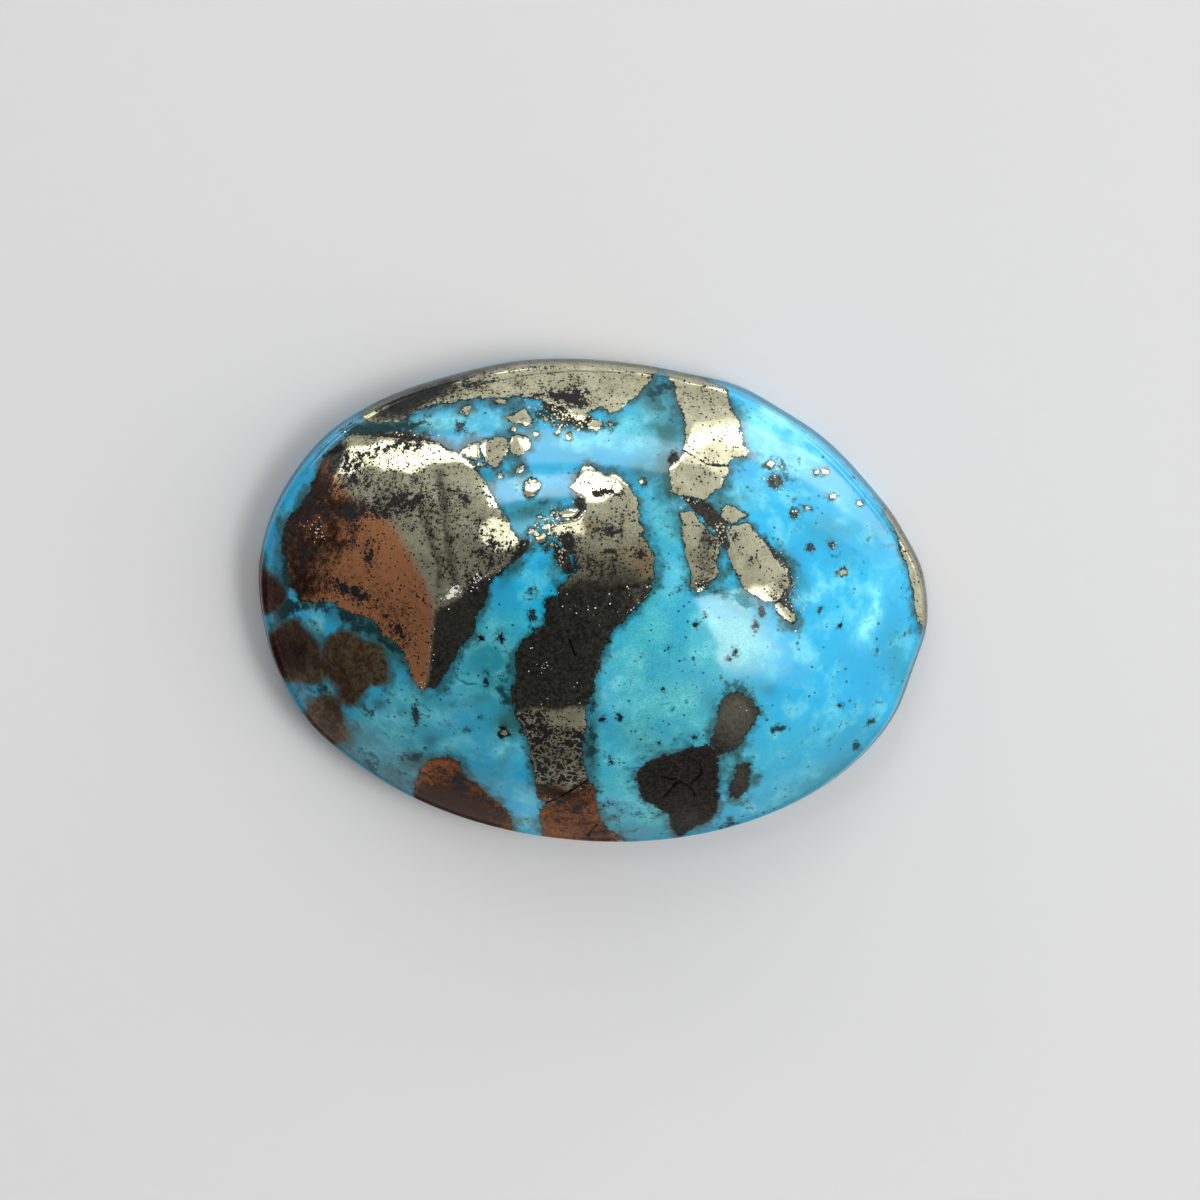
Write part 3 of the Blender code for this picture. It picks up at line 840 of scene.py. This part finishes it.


# The finish
# One finish for the whole stone, because turquoise, pyrite and matrix were polished together:
# waxy turquoise, bright metal with black pits, painted copper reflections, painted shade and painted
# glints, granular dark pyrite that is partly a painted dark reflection, and dull brown matrix.
SKY = (0.004, 0.410, 0.715, 1.0)
CYAN = (0.090, 0.550, 0.585, 1.0)
DEEP_SKY = (0.002, 0.315, 0.610, 1.0)
DEEP = (0.010, 0.255, 0.320, 1.0)
TEAL = (0.012, 0.118, 0.118, 1.0)
# duller blues, partly painted shade
DULL_SHADED_BLUE = (0.006, 0.142, 0.190, 1.0)
PALE = (0.210, 0.780, 0.900, 1.0)
PALE_DULL_SHADED_BLUE = (0.050, 0.400, 0.480, 1.0)
MURK = (0.003, 0.013, 0.013, 1.0)
STAIN = (0.004, 0.052, 0.055, 1.0)
NEAR_BLACK = (0.004, 0.008, 0.009, 1.0)
BRASS = (0.690, 0.680, 0.480, 1.0)
BRASS_DEEP = (0.500, 0.480, 0.320, 1.0)
TARNISH = (0.480, 0.330, 0.140, 1.0)
# painted reflection: copper tones of warm surroundings mirrored in the pyrite, plain, darker and
# shaded
COPPER_REFLECTION = (0.750, 0.325, 0.148, 1.0)
DARKER_COPPER_REFLECTION = (0.300, 0.105, 0.036, 1.0)
SHADED_COPPER_REFLECTION = (0.050, 0.022, 0.012, 1.0)
# dark grainy pyrite, partly a painted dark reflection
CHARCOAL = (0.118, 0.118, 0.094, 1.0)
CHARCOAL_DARK = (0.021, 0.021, 0.017, 1.0)
SLATE = (0.075, 0.088, 0.085, 1.0)
# black of the cracks, and of the painted shade line at the girdle
CRACK_AND_SHADE_BLACK = (0.002, 0.002, 0.002, 1.0)
PIT = (0.012, 0.012, 0.013, 1.0)
MATRIX_DARK = (0.008, 0.0065, 0.005, 1.0)
MATRIX_GREY = (0.040, 0.034, 0.026, 1.0)
UMBER = (0.125, 0.068, 0.030, 1.0)
OLIVE = (0.200, 0.150, 0.080, 1.0)
MAROON = (0.034, 0.013, 0.010, 1.0)
RUST = (0.110, 0.030, 0.010, 1.0)
ASH = (0.118, 0.115, 0.090, 1.0)
# painted highlight for the glints and sparkles
PAINTED_SPARKLE = (0.900, 0.890, 0.800, 1.0)
# width of each noise's lumps and of the cells that hold dots, in millimetres
CLOUD = 2.2
MOTTLE = 0.9
CLUMP = 0.7
BURIED_EDGE = 0.6
RAGGED_EDGE = 0.55
BLOTTING = 0.45
FLECK = 0.38
SHADE_MOTTLE = 0.34
WEB = 0.34
BLOTCH = 0.25
GRANULE = 0.16
ETCHING = 0.10
GRIT = 0.075
FINE_DOTS = 0.21
LARGE_DOTS = 0.60
FINE_PITS = 0.095
LARGE_PITS = 0.25
PAINTED_SPARKLE_CELLS = 0.058
LARGE_CRUMBS = 0.12
FINE_CRUMBS = 0.065
# patches on the back: width in millimetres, limit, height
BACK_PYRITE = (6.0, 0.10, 6.0)
BACK_MATRIX = (4.0, 0.08, 5.0)
# heights in metres between which the back gives way to the front, and the low wall's painted shade
# and roughness fade out towards the dome
BACK_TO_FRONT = (0.00005, 0.0007)
WALL_SHADE_HEIGHTS = (0.0008, 0.0017)
WALL_SHADE_SHARE = 0.60
DULL_METALLIC = 0.90
DULL_MURK = 0.7
TURQUOISE_ROUGHNESS = 0.085
BURIED_ROUGHNESS = 0.30
MATRIX_ROUGHNESS = 0.42
PYRITE_ROUGHNESS = 0.07
COPPER_REFLECTION_ROUGHNESS = 0.16
CHARCOAL_ROUGHNESS = 0.36
PIT_ROUGHNESS = 0.5
BACK_ROUGHNESS = 0.5
SHADED_WALL_ROUGHNESS = 0.6
CRACK_ROUGHNESS = 0.8
TURQUOISE_IOR = 1.61
BUMP_STRENGTH = 0.5
BUMP_DISTANCE = 0.00002


class Graph:
    """Short ways to add and join shader nodes in one node tree."""

    def __init__(self, tree):
        self.tree = tree

    def node(self, kind, **values):
        """Add a node and set its own properties."""
        made = self.tree.nodes.new(kind)
        for name, value in values.items():
            setattr(made, name, value)
        return made

    def feed(self, socket, value):
        """Join a socket to an output, or set its value."""
        if isinstance(value, bpy.types.NodeSocket):
            self.tree.links.new(value, socket)
        else:
            socket.default_value = value

    def math(self, operation, first, second=0.0, third=0.0):
        """One sum of two or three numbers."""
        made = self.node("ShaderNodeMath", operation=operation)
        for socket, value in zip(made.inputs, (first, second, third)):
            self.feed(socket, value)
        return made.outputs[0]

    def add(self, first, second):
        """The sum of two numbers."""
        return self.math("ADD", first, second)

    def times(self, first, second):
        """The product of two numbers."""
        return self.math("MULTIPLY", first, second)

    def rise(self, value, low, high, start=0.0, stop=1.0):
        """A smooth change from start to stop as value goes from low to high."""
        made = self.node("ShaderNodeMapRange", interpolation_type="SMOOTHSTEP")
        for name, given in (
            ("Value", value), ("From Min", low), ("From Max", high),
            ("To Min", start), ("To Max", stop),
        ):
            self.feed(made.inputs[name], given)
        return made.outputs["Result"]

    def mix(self, share, first, second):
        """Blend two colours by a share."""
        made = self.node("ShaderNodeMix", data_type="RGBA", clamp_factor=True)
        self.feed(made.inputs[0], share)
        self.feed(made.inputs[6], first)
        self.feed(made.inputs[7], second)
        return made.outputs[2]

    def blend(self, share, first, second):
        """Blend two numbers by a share."""
        made = self.node("ShaderNodeMix", data_type="FLOAT", clamp_factor=True)
        self.feed(made.inputs[0], share)
        self.feed(made.inputs[2], first)
        self.feed(made.inputs[3], second)
        return made.outputs[0]

    def most(self, first, *others):
        """The largest of several numbers."""
        for other in others:
            first = self.math("MAXIMUM", first, other)
        return first

    def rest(self, share):
        """What a share leaves of the whole."""
        return self.math("SUBTRACT", 1.0, share)

    def noise(self, place, grain, detail=4.0, roughness=0.6):
        """Cloudy noise around 0 with lumps about as wide as grain, in millimetres."""
        made = self.node("ShaderNodeTexNoise")
        self.feed(made.inputs["Vector"], place)
        made.inputs["Scale"].default_value = 1000.0 / grain
        made.inputs["Detail"].default_value = detail
        made.inputs["Roughness"].default_value = roughness
        return self.math("SUBTRACT", made.outputs["Fac"], 0.5)

    def dots(self, place, grain, density, radius, wobble=0.0):
        """Mask of scattered dots: cell size in millimetres, share of cells, radius in cells."""
        cells = self.node("ShaderNodeTexVoronoi")
        self.feed(cells.inputs["Vector"], place)
        cells.inputs["Scale"].default_value = 1000.0 / grain
        tone = self.node("ShaderNodeSeparateColor")
        self.feed(tone.inputs[0], cells.outputs["Color"])
        chosen = self.math("LESS_THAN", tone.outputs[0], density)
        size = self.math("MULTIPLY_ADD", tone.outputs[1], radius, radius * 0.5)
        near = self.math("LESS_THAN", self.add(cells.outputs["Distance"], wobble), size)
        return self.times(chosen, near)

    def marking(self, name):
        """One of the stone's markings."""
        return self.node("ShaderNodeAttribute", attribute_name=name).outputs["Fac"]


def back_depth(graph, place, grain, limit, height):
    """Depth inside patches that fill the back, where the picture gives none."""
    lumps = graph.noise(place, grain, detail=3.0, roughness=0.5)
    return graph.times(graph.math("SUBTRACT", lumps, limit), height)


def turquoise_colour(graph, place, nearest, patches):
    """Turquoise with its clouds, stains and dark specks, painted shade and painted highlight, and
    how murky it is.
    """
    clouds = graph.noise(place, CLOUD, detail=3.0, roughness=0.5)
    mottle = graph.noise(place, MOTTLE, roughness=0.58)
    flecks = graph.noise(place, FLECK, detail=5.0, roughness=0.72)
    grit = graph.noise(place, GRIT, detail=2.0)
    cyan = graph.marking("cyan")
    dull_and_shade = graph.marking("dull_and_shade")
    colour = graph.mix(graph.add(cyan, graph.times(mottle, 0.9)), SKY, CYAN)
    colour = graph.mix(graph.rise(clouds, -0.12, 0.05, 0.50, 0.0), colour, DEEP_SKY)
    colour = graph.mix(graph.marking("deep"), colour, DEEP)
    # duller colour, partly painted shade, low down and at the rim
    colour = graph.mix(dull_and_shade, colour, DULL_SHADED_BLUE)
    # pale clouds, partly painted highlight
    pale_and_highlight = graph.marking("pale")
    pale = graph.times(pale_and_highlight, graph.rise(mottle, -0.14, 0.10, 0.5, 1.5))
    lumps = graph.add(graph.times(clouds, 0.6), graph.times(mottle, 0.8))
    pale = graph.add(pale, graph.rise(lumps, -0.02, 0.20, 0.0, 0.42))
    colour = graph.mix(pale, colour, graph.mix(dull_and_shade, PALE, PALE_DULL_SHADED_BLUE))
    teal = graph.times(graph.marking("teal"), graph.rise(mottle, -0.10, 0.10, 1.15, 0.70))
    teal = graph.add(teal, graph.rise(flecks, 0.05, 0.18, 0.0, 0.22))
    colour = graph.mix(teal, colour, TEAL)
    murk_edge = graph.add(graph.marking("murky"), graph.times(graph.add(mottle, flecks), 2.0))
    murk = graph.rise(murk_edge, 0.27, 0.78, 0.0, 0.96)
    colour = graph.mix(murk, colour, MURK)
    vein = graph.rise(graph.marking("vein_near"), 0.0, 0.04, 0.45, 0.0)
    seam = graph.add(graph.marking("seam_near"), graph.times(flecks, 0.15))
    vein = graph.most(vein, graph.rise(seam, 0.01, 0.07, 0.85, 0.0))
    colour = graph.mix(vein, colour, TEAL)
    wide_edge = graph.add(patches, graph.times(graph.add(mottle, graph.times(flecks, 0.5)), 2.0))
    wide_stain = graph.times(graph.rise(wide_edge, -0.55, 0.02), graph.blend(pale_and_highlight, 0.88, 0.15))
    colour = graph.mix(wide_stain, colour, STAIN)
    close_edge = graph.add(nearest, graph.times(flecks, 0.5))
    colour = graph.mix(graph.rise(close_edge, -0.20, 0.0, 0.0, 0.65), colour, STAIN)
    gritty = graph.most(cyan, dull_and_shade)
    grit = graph.times(graph.rise(grit, -0.20, 0.20), graph.blend(gritty, 0.10, 0.55))
    colour = graph.mix(grit, colour, DEEP)
    tiny = graph.dots(place, FINE_DOTS, graph.blend(gritty, 0.05, 0.24), 0.22)
    small = graph.dots(place, LARGE_DOTS, 0.10, 0.09)
    colour = graph.mix(graph.times(graph.most(tiny, small), 0.80), colour, STAIN)
    # dark rim round the patches: partly dark matrix and partly painted shade of their edge
    dark_rim_edge = graph.add(nearest, graph.times(flecks, 0.25))
    dark_rim = graph.rise(dark_rim_edge, -0.070, -0.02, 0.0, 0.94)
    return graph.mix(dark_rim, colour, NEAR_BLACK), graph.most(murk, dark_rim)


def dull_colour(graph, place, granules, matrix_mask, speck_mask, buried_mask, colour):
    """Lay the dull matrix over the turquoise: buried patches, bare matrix and ragged specks."""
    blotting = graph.noise(place, BLOTTING, roughness=0.65)
    buried = graph.mix(graph.rise(blotting, -0.10, 0.10), UMBER, OLIVE)
    purple = graph.times(graph.marking("warm"), graph.rise(blotting, -0.2, 0.2, 1.3, 0.9))
    buried = graph.mix(purple, buried, MAROON)
    rusty = graph.times(graph.marking("rusty"), graph.rise(granules, 0.02, 0.12, 0.0, 1.0))
    buried = graph.mix(rusty, buried, RUST)
    buried = graph.mix(graph.rise(granules, -0.20, 0.12, 0.75, 0.0), buried, MATRIX_DARK)
    colour = graph.mix(buried_mask, colour, buried)
    bare = graph.mix(graph.rise(granules, -0.12, 0.16), MATRIX_DARK, MATRIX_GREY)
    ash = graph.times(graph.marking("ash"), graph.rise(granules, -0.25, 0.15, 0.5, 1.1))
    bare = graph.mix(ash, bare, ASH)
    bare = graph.mix(graph.rise(graph.marking("patch_depth"), -0.30, -0.12), NEAR_BLACK, bare)
    colour = graph.mix(matrix_mask, colour, bare)
    speck = graph.mix(graph.rise(granules, -0.10, 0.14), NEAR_BLACK, SLATE)
    return graph.mix(graph.times(speck_mask, 0.92), colour, speck)


def pyrite_pits(graph, place, granules, clumps):
    """Mask of the black pits in the pyrite: single pits, blotches, and the lattice's gaps."""
    pitted = graph.marking("pitted")
    wobble = graph.times(granules, 0.9)
    clumping = graph.rise(clumps, -0.12, 0.18, 0.20, 1.0)
    density = graph.add(graph.times(graph.add(pitted, 0.24), clumping), 0.03)
    blotches = graph.noise(place, BLOTCH, detail=5.0, roughness=0.74)
    blotches = graph.add(graph.add(blotches, graph.times(pitted, 0.16)), graph.times(clumps, 0.3))
    pits = graph.most(
        graph.dots(place, FINE_PITS, density, 0.42, wobble),
        graph.dots(place, LARGE_PITS, graph.times(density, 0.5), 0.19, wobble),
    )
    pits = graph.most(pits, graph.rise(blotches, 0.165, 0.195))
    web = graph.math("ABSOLUTE", graph.noise(place, WEB, roughness=0.62))
    lattice = graph.add(graph.marking("lattice_depth"), graph.times(granules, 0.6))
    lattice = graph.times(graph.rise(web, 0.030, 0.050), graph.rise(lattice, -0.06, 0.06))
    return graph.most(pits, lattice)


def pyrite_colour(graph, place, ragged, granules):
    """Pyrite, bright where clean and black where pitted; its pits, painted copper reflection and
    painted glints.
    """
    clumps = graph.noise(place, CLUMP)
    etching = graph.noise(place, ETCHING, detail=3.0, roughness=0.7)
    pits = pyrite_pits(graph, place, granules, clumps)
    brass = graph.mix(graph.rise(clumps, -0.2, 0.2), BRASS, BRASS_DEEP)
    brass = graph.mix(graph.marking("tarnished"), brass, TARNISH)
    # painted copper reflection over the pyrite
    copper_reflection_edge = graph.add(graph.marking("copper_reflection_depth"), graph.times(ragged, 0.25))
    copper_reflection = graph.rise(copper_reflection_edge, -0.26, 0.26)
    reflection_tint = graph.mix(graph.marking("darker_reflection"), COPPER_REFLECTION, DARKER_COPPER_REFLECTION)
    metal = graph.mix(copper_reflection, brass, reflection_tint)
    dark_metal = graph.mix(copper_reflection, CHARCOAL_DARK, SHADED_COPPER_REFLECTION)
    etched = graph.blend(graph.marking("pitted"), 0.22, 0.70)
    etched = graph.times(graph.rise(etching, -0.10, 0.20), etched)
    metal = graph.mix(etched, metal, dark_metal)
    # painted shade and dark reflections on the metal, broken up by mottling
    shade_mottle = graph.noise(place, SHADE_MOTTLE, detail=5.0, roughness=0.75)
    painted_shade_edge = graph.times(shade_mottle, graph.blend(copper_reflection, 0.9, 2.2))
    painted_shade_edge = graph.add(graph.marking("painted_shade"), painted_shade_edge)
    metal = graph.mix(graph.rise(painted_shade_edge, 0.05, 0.95), metal, dark_metal)
    # painted shade along the wing's folds
    fold_shade = graph.add(graph.marking("fold_shade_near"), graph.times(graph.add(granules, shade_mottle), 0.45))
    metal = graph.mix(graph.rise(fold_shade, -0.08, 0.29, 0.88, 0.0), metal, dark_metal)
    # dark grainy pyrite, partly a painted dark reflection
    charcoal_edge = graph.add(graph.marking("dark_grain_and_reflection_depth"), graph.times(granules, 0.5))
    dark_grain_and_reflection = graph.rise(charcoal_edge, -0.12, 0.10)
    charcoal_colour = graph.mix(graph.rise(granules, -0.2, 0.25), CHARCOAL_DARK, CHARCOAL)
    charcoal_colour = graph.mix(graph.times(graph.marking("ash"), 0.5), charcoal_colour, ASH)
    metal = graph.mix(dark_grain_and_reflection, metal, charcoal_colour)
    metal = graph.mix(pits, metal, PIT)
    # painted glints and sparkles in white
    painted_glints = graph.marking("painted_glints")
    painted_glint_shapes = graph.add(painted_glints, graph.times(graph.add(granules, etching), 2.0))
    painted_glint_shapes = graph.times(graph.rise(painted_glint_shapes, 0.68, 0.76), graph.rest(pits))
    painted_glint = graph.times(painted_glint_shapes, graph.rise(painted_glints, 0.55, 0.65))
    painted_sparkle_share = graph.rise(graph.marking("dark_grain_and_reflection_depth"), -0.2, 0.5, 0.012, 0.002)
    painted_sparkle_share = graph.add(graph.times(painted_sparkle_share, dark_grain_and_reflection), graph.times(painted_glints, 0.5))
    painted_sparkle = graph.dots(place, PAINTED_SPARKLE_CELLS, painted_sparkle_share, 0.42, graph.times(etching, 0.9))
    painted_glint = graph.most(painted_glint, painted_sparkle)
    metal = graph.mix(painted_glint, metal, PAINTED_SPARKLE)
    return metal, pits, copper_reflection, dark_grain_and_reflection, painted_glint


def polished_stone():
    """The one finish of the whole stone."""
    material = bpy.data.materials.new("polished_turquoise_and_pyrite")
    material.use_nodes = True
    graph = Graph(material.node_tree)
    shader = material.node_tree.nodes["Principled BSDF"]
    place = graph.node("ShaderNodeTexCoord").outputs["Object"]
    axes = graph.node("ShaderNodeSeparateXYZ")
    graph.feed(axes.inputs[0], place)
    on_front = graph.rise(axes.outputs["Z"], *BACK_TO_FRONT)

    ragged = graph.noise(place, RAGGED_EDGE, detail=5.0, roughness=0.68)
    granules = graph.noise(place, GRANULE, roughness=0.7)
    pyrite = graph.blend(
        on_front, back_depth(graph, place, *BACK_PYRITE), graph.marking("pyrite_depth")
    )
    fringe = graph.add(graph.times(ragged, 0.50), graph.times(granules, 0.28))
    pyrite = graph.add(pyrite, fringe)
    matrix = graph.blend(
        on_front, back_depth(graph, place, *BACK_MATRIX), graph.marking("matrix_depth")
    )
    matrix = graph.add(matrix, graph.add(fringe, graph.times(granules, 0.14)))
    speck = graph.add(graph.times(ragged, 0.55), graph.times(granules, 0.50))
    speck = graph.add(graph.marking("speck_depth"), speck)
    speck = graph.math("SUBTRACT", speck, 0.03)
    buried = graph.add(
        graph.marking("buried_depth"), graph.times(graph.noise(place, BURIED_EDGE), 0.6)
    )
    nearest = graph.most(pyrite, matrix, speck)
    patches = graph.most(graph.marking("patch_depth"), buried)
    patches = graph.blend(on_front, nearest, patches)
    pyrite_mask = graph.rise(pyrite, -0.008, 0.008)
    matrix_mask = graph.rise(matrix, -0.02, 0.02)
    speck_mask = graph.times(graph.rise(speck, -0.03, 0.03), on_front)
    buried_mask = graph.rise(buried, -0.20, 0.14, 0.0, 0.99)

    metal, pits, copper_reflection, dark_grain_and_reflection, painted_glint = pyrite_colour(graph, place, ragged, granules)
    colour, murk = turquoise_colour(graph, place, nearest, patches)
    colour = dull_colour(graph, place, granules, matrix_mask, speck_mask, buried_mask, colour)
    crumbs = graph.marking("crumbs")
    crumb = graph.most(
        graph.dots(place, LARGE_CRUMBS, graph.times(crumbs, 0.40), 0.36, graph.times(granules, 0.9)),
        graph.dots(place, FINE_CRUMBS, graph.times(crumbs, 0.35), 0.42),
    )
    colour = graph.mix(crumb, colour, BRASS)
    colour = graph.mix(pyrite_mask, colour, metal)
    crack_edge = graph.add(graph.marking("crack_near"), graph.times(ragged, 0.12))
    crack_and_girdle_shade = graph.rise(crack_edge, -0.012, 0.022, 1.0, 0.0)
    # painted shade: a dark line along the girdle's edge on the pyrite, blackened with the cracks
    girdle_shade = graph.rise(graph.marking("girdle_shade_near"), 0.010, 0.045, 0.75, 0.0)
    crack_and_girdle_shade = graph.most(crack_and_girdle_shade, graph.times(girdle_shade, pyrite_mask))
    colour = graph.mix(crack_and_girdle_shade, colour, CRACK_AND_SHADE_BLACK)
    # painted shade: the low wall is darkened towards the bottom, and made rougher
    shaded_rough_wall = graph.rise(axes.outputs["Z"], *WALL_SHADE_HEIGHTS, WALL_SHADE_SHARE, 0.0)
    colour = graph.mix(graph.times(shaded_rough_wall, on_front), colour, MURK)

    # dull dark places are mostly metallic too, so that they mirror no more than their colour
    murky = graph.times(graph.most(speck_mask, murk), DULL_MURK)
    dull = graph.most(matrix_mask, buried_mask, murky)
    metallic = graph.blend(pyrite_mask, graph.times(dull, DULL_METALLIC), 1.0)
    metallic = graph.most(metallic, crumb)
    metallic = graph.times(metallic, graph.rest(graph.times(pits, 0.3)))
    # painted glints are not metallic, so they stay white
    metallic = graph.times(metallic, graph.rest(graph.times(painted_glint, pyrite_mask)))
    rough_dull = graph.most(matrix_mask, speck_mask)
    roughness = graph.blend(rough_dull, TURQUOISE_ROUGHNESS, MATRIX_ROUGHNESS)
    roughness = graph.blend(graph.times(buried_mask, 0.5), roughness, BURIED_ROUGHNESS)
    metal_roughness = graph.blend(copper_reflection, PYRITE_ROUGHNESS, COPPER_REFLECTION_ROUGHNESS)
    metal_roughness = graph.blend(dark_grain_and_reflection, metal_roughness, CHARCOAL_ROUGHNESS)
    metal_roughness = graph.most(metal_roughness, graph.times(pits, PIT_ROUGHNESS))
    roughness = graph.blend(pyrite_mask, roughness, metal_roughness)
    roughness = graph.most(
        roughness,
        graph.times(crack_and_girdle_shade, CRACK_ROUGHNESS),
        graph.blend(on_front, BACK_ROUGHNESS, 0.0),
        graph.times(shaded_rough_wall, SHADED_WALL_ROUGHNESS),
    )

    coarse = graph.most(rough_dull, graph.times(dark_grain_and_reflection, pyrite_mask))
    height = graph.times(granules, graph.blend(coarse, graph.times(pyrite_mask, 0.06), 1.0))
    bump = graph.node("ShaderNodeBump")
    bump.inputs["Strength"].default_value = BUMP_STRENGTH
    bump.inputs["Distance"].default_value = BUMP_DISTANCE
    graph.feed(bump.inputs["Height"], height)

    graph.feed(shader.inputs["Base Color"], colour)
    graph.feed(shader.inputs["Metallic"], metallic)
    graph.feed(shader.inputs["Roughness"], roughness)
    graph.feed(shader.inputs["Normal"], bump.outputs["Normal"])
    shader.inputs["IOR"].default_value = TURQUOISE_IOR
    return material


stone_data.materials.append(polished_stone())
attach(stone, "root")
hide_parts("turquoise_stone")


# The table and the lights
# A plain pale table. A low curved bar of light strips stands behind the stone with two strips
# above it. A panel that fades downwards stands at the right, and a fill isn't mirrored.
FLOOR_SIDE = 3.0
FLOOR_COLOUR = (0.72, 0.72, 0.72, 1.0)
FLOOR_ROUGHNESS = 0.8
LIGHT_DISTANCE = 0.52
# start and stop (azimuth, elevation), width in degrees, radiance, share of its width below them
LIGHT_STRIPS = (
    ("bar_right", (36.0, 5.0), (58.0, 8.5), 11.0, 3.2, 0.0),
    ("bar_right_bend", (58.0, 9.0), (77.0, 17.0), 8.0, 1.5, 0.0),
    ("bar_right_end", (18.0, 1.5), (36.0, 5.0), 10.0, 1.5, 0.0),
    ("bar_right_glow", (12.0, 4.0), (78.0, 15.0), 20.0, 0.7, 0.0),
    ("bar_middle", (74.0, 20.0), (106.0, 20.5), 12.0, 2.3, 0.0),
    ("bar_left", (111.0, 18.5), (150.0, 4.5), 11.0, 2.7, 0.0),
    ("lower_strip", (82.0, 34.5), (116.0, 35.0), 9.0, 4.0, 0.0),
    ("upper_strip", (90.0, 52.0), (131.0, 51.5), 10.0, 1.5, 0.0),
    ("side_panel_11", (-36.0, 50.8), (14.0, 63.5), 11.0, 1.3, 0.5),
    ("side_panel_14", (-39.0, 48.7), (14.0, 63.5), 13.5, 1.3, 0.5),
    ("side_panel_16", (-42.0, 46.5), (14.0, 63.5), 16.0, 1.2, 0.5),
    ("side_panel_18", (-45.0, 43.9), (14.0, 63.5), 18.5, 0.9, 0.5),
    ("side_panel_22", (-49.0, 39.9), (14.0, 63.5), 22.0, 0.5, 0.5),
    ("side_glow", (-60.0, 38.0), (10.0, 50.0), 26.0, 0.25, 0.0),
)
FILL_WAY = (-15.0, 35.0)
FILL_SIDE = 0.33
FILL_RADIANCE = 3.0
BRIGHT_SIDE = 35.0
DIM_SHARE = 0.38
BRIGHT_SHARE = 1.35
# sine of the height over the horizon, then brightness
SKY_STEPS = ((0.0, 0.74), (0.5, 0.62), (0.70, 0.52), (0.82, 0.42), (0.93, 0.28), (1.0, 0.12))

floor_mesh = bmesh.new()
bmesh.ops.create_grid(floor_mesh, x_segments=1, y_segments=1, size=FLOOR_SIDE / 2)
floor_data = bpy.data.meshes.new("floor")
floor_mesh.to_mesh(floor_data)
floor_mesh.free()
floor_material = bpy.data.materials.new("pale_table")
floor_material.use_nodes = True
floor_shader = floor_material.node_tree.nodes["Principled BSDF"]
floor_shader.inputs["Base Color"].default_value = FLOOR_COLOUR
floor_shader.inputs["Roughness"].default_value = FLOOR_ROUGHNESS
floor_data.materials.append(floor_material)
floor = bpy.data.objects.new("floor", floor_data)
bpy.context.scene.collection.objects.link(floor)


def way_to(azimuth, elevation):
    """Direction from the stone: degrees from the picture's right towards its top, then up."""
    around, upward = math.radians(azimuth), math.radians(elevation)
    level = picture_right * math.cos(around) + picture_up * math.sin(around)
    return level * math.cos(upward) + straight_up * math.sin(upward)


def soft_panel(name, centre, along, length, width, radiance, mirrored=True):
    """A flat soft light at a place, facing the stone, with its length in one direction."""
    facing = centre.normalized()
    length_way = (along - facing * along.dot(facing)).normalized()
    data = bpy.data.lights.new(name, "AREA")
    data.shape = "RECTANGLE"
    data.size = length
    data.size_y = width
    data.energy = radiance * math.pi * length * width
    lamp = bpy.data.objects.new(name, data)
    lamp.matrix_world = Matrix.Translation(centre) @ Matrix(
        (length_way, facing.cross(length_way), facing)
    ).transposed().to_4x4()
    lamp.visible_camera = False
    lamp.visible_glossy = mirrored
    bpy.context.scene.collection.objects.link(lamp)


def soft_strip(name, start, stop, width, radiance, below):
    """A strip light from one azimuth and elevation to another, or set below that line.

    Its width and how far it is set below the line are in degrees.
    """
    start_way, stop_way = way_to(*start), way_to(*stop)
    under = stop_way.cross(start_way).normalized() * math.sin(math.radians(below))
    start_way = start_way * math.cos(math.radians(below)) + under
    stop_way = stop_way * math.cos(math.radians(below)) + under
    centre = (start_way + stop_way) * (LIGHT_DISTANCE / 2)
    run = (stop_way - start_way) * LIGHT_DISTANCE
    broad = 2.0 * centre.length * math.tan(math.radians(width / 2))
    soft_panel(name, centre, run, run.length, broad, radiance)


for name, start, stop, width, radiance, below in LIGHT_STRIPS:
    soft_strip(name, start, stop, width, radiance, below * width)
fill_centre = way_to(*FILL_WAY) * LIGHT_DISTANCE
soft_panel("fill", fill_centre, picture_up, FILL_SIDE, FILL_SIDE, FILL_RADIANCE, mirrored=False)

# the room is dim overhead and brighter low down and towards one side
world = bpy.data.worlds.new("studio")
world.use_nodes = True
bpy.context.scene.world = world
sky = Graph(world.node_tree)
sky_way = sky.node("ShaderNodeTexCoord").outputs["Generated"]
sky_height = sky.node("ShaderNodeSeparateXYZ")
sky.feed(sky_height.inputs[0], sky_way)
sky_ramp = sky.node("ShaderNodeValToRGB")
sky.feed(sky_ramp.inputs[0], sky_height.outputs["Z"])
for position, level in SKY_STEPS[1:-1]:
    sky_ramp.color_ramp.elements.new(position)
for element, (position, level) in zip(sky_ramp.color_ramp.elements, SKY_STEPS):
    element.position = position
    element.color = (level, level, level, 1.0)
toward_bright = sky.node("ShaderNodeVectorMath", operation="DOT_PRODUCT")
sky.feed(toward_bright.inputs[0], sky_way)
sky.feed(toward_bright.inputs[1], way_to(BRIGHT_SIDE, 0.0))
background = world.node_tree.nodes["Background"]
sky.feed(background.inputs["Color"], sky_ramp.outputs["Color"])
sky_strength = sky.rise(toward_bright.outputs["Value"], -1.0, 1.0, DIM_SHARE, BRIGHT_SHARE)
sky.feed(background.inputs["Strength"], sky_strength)
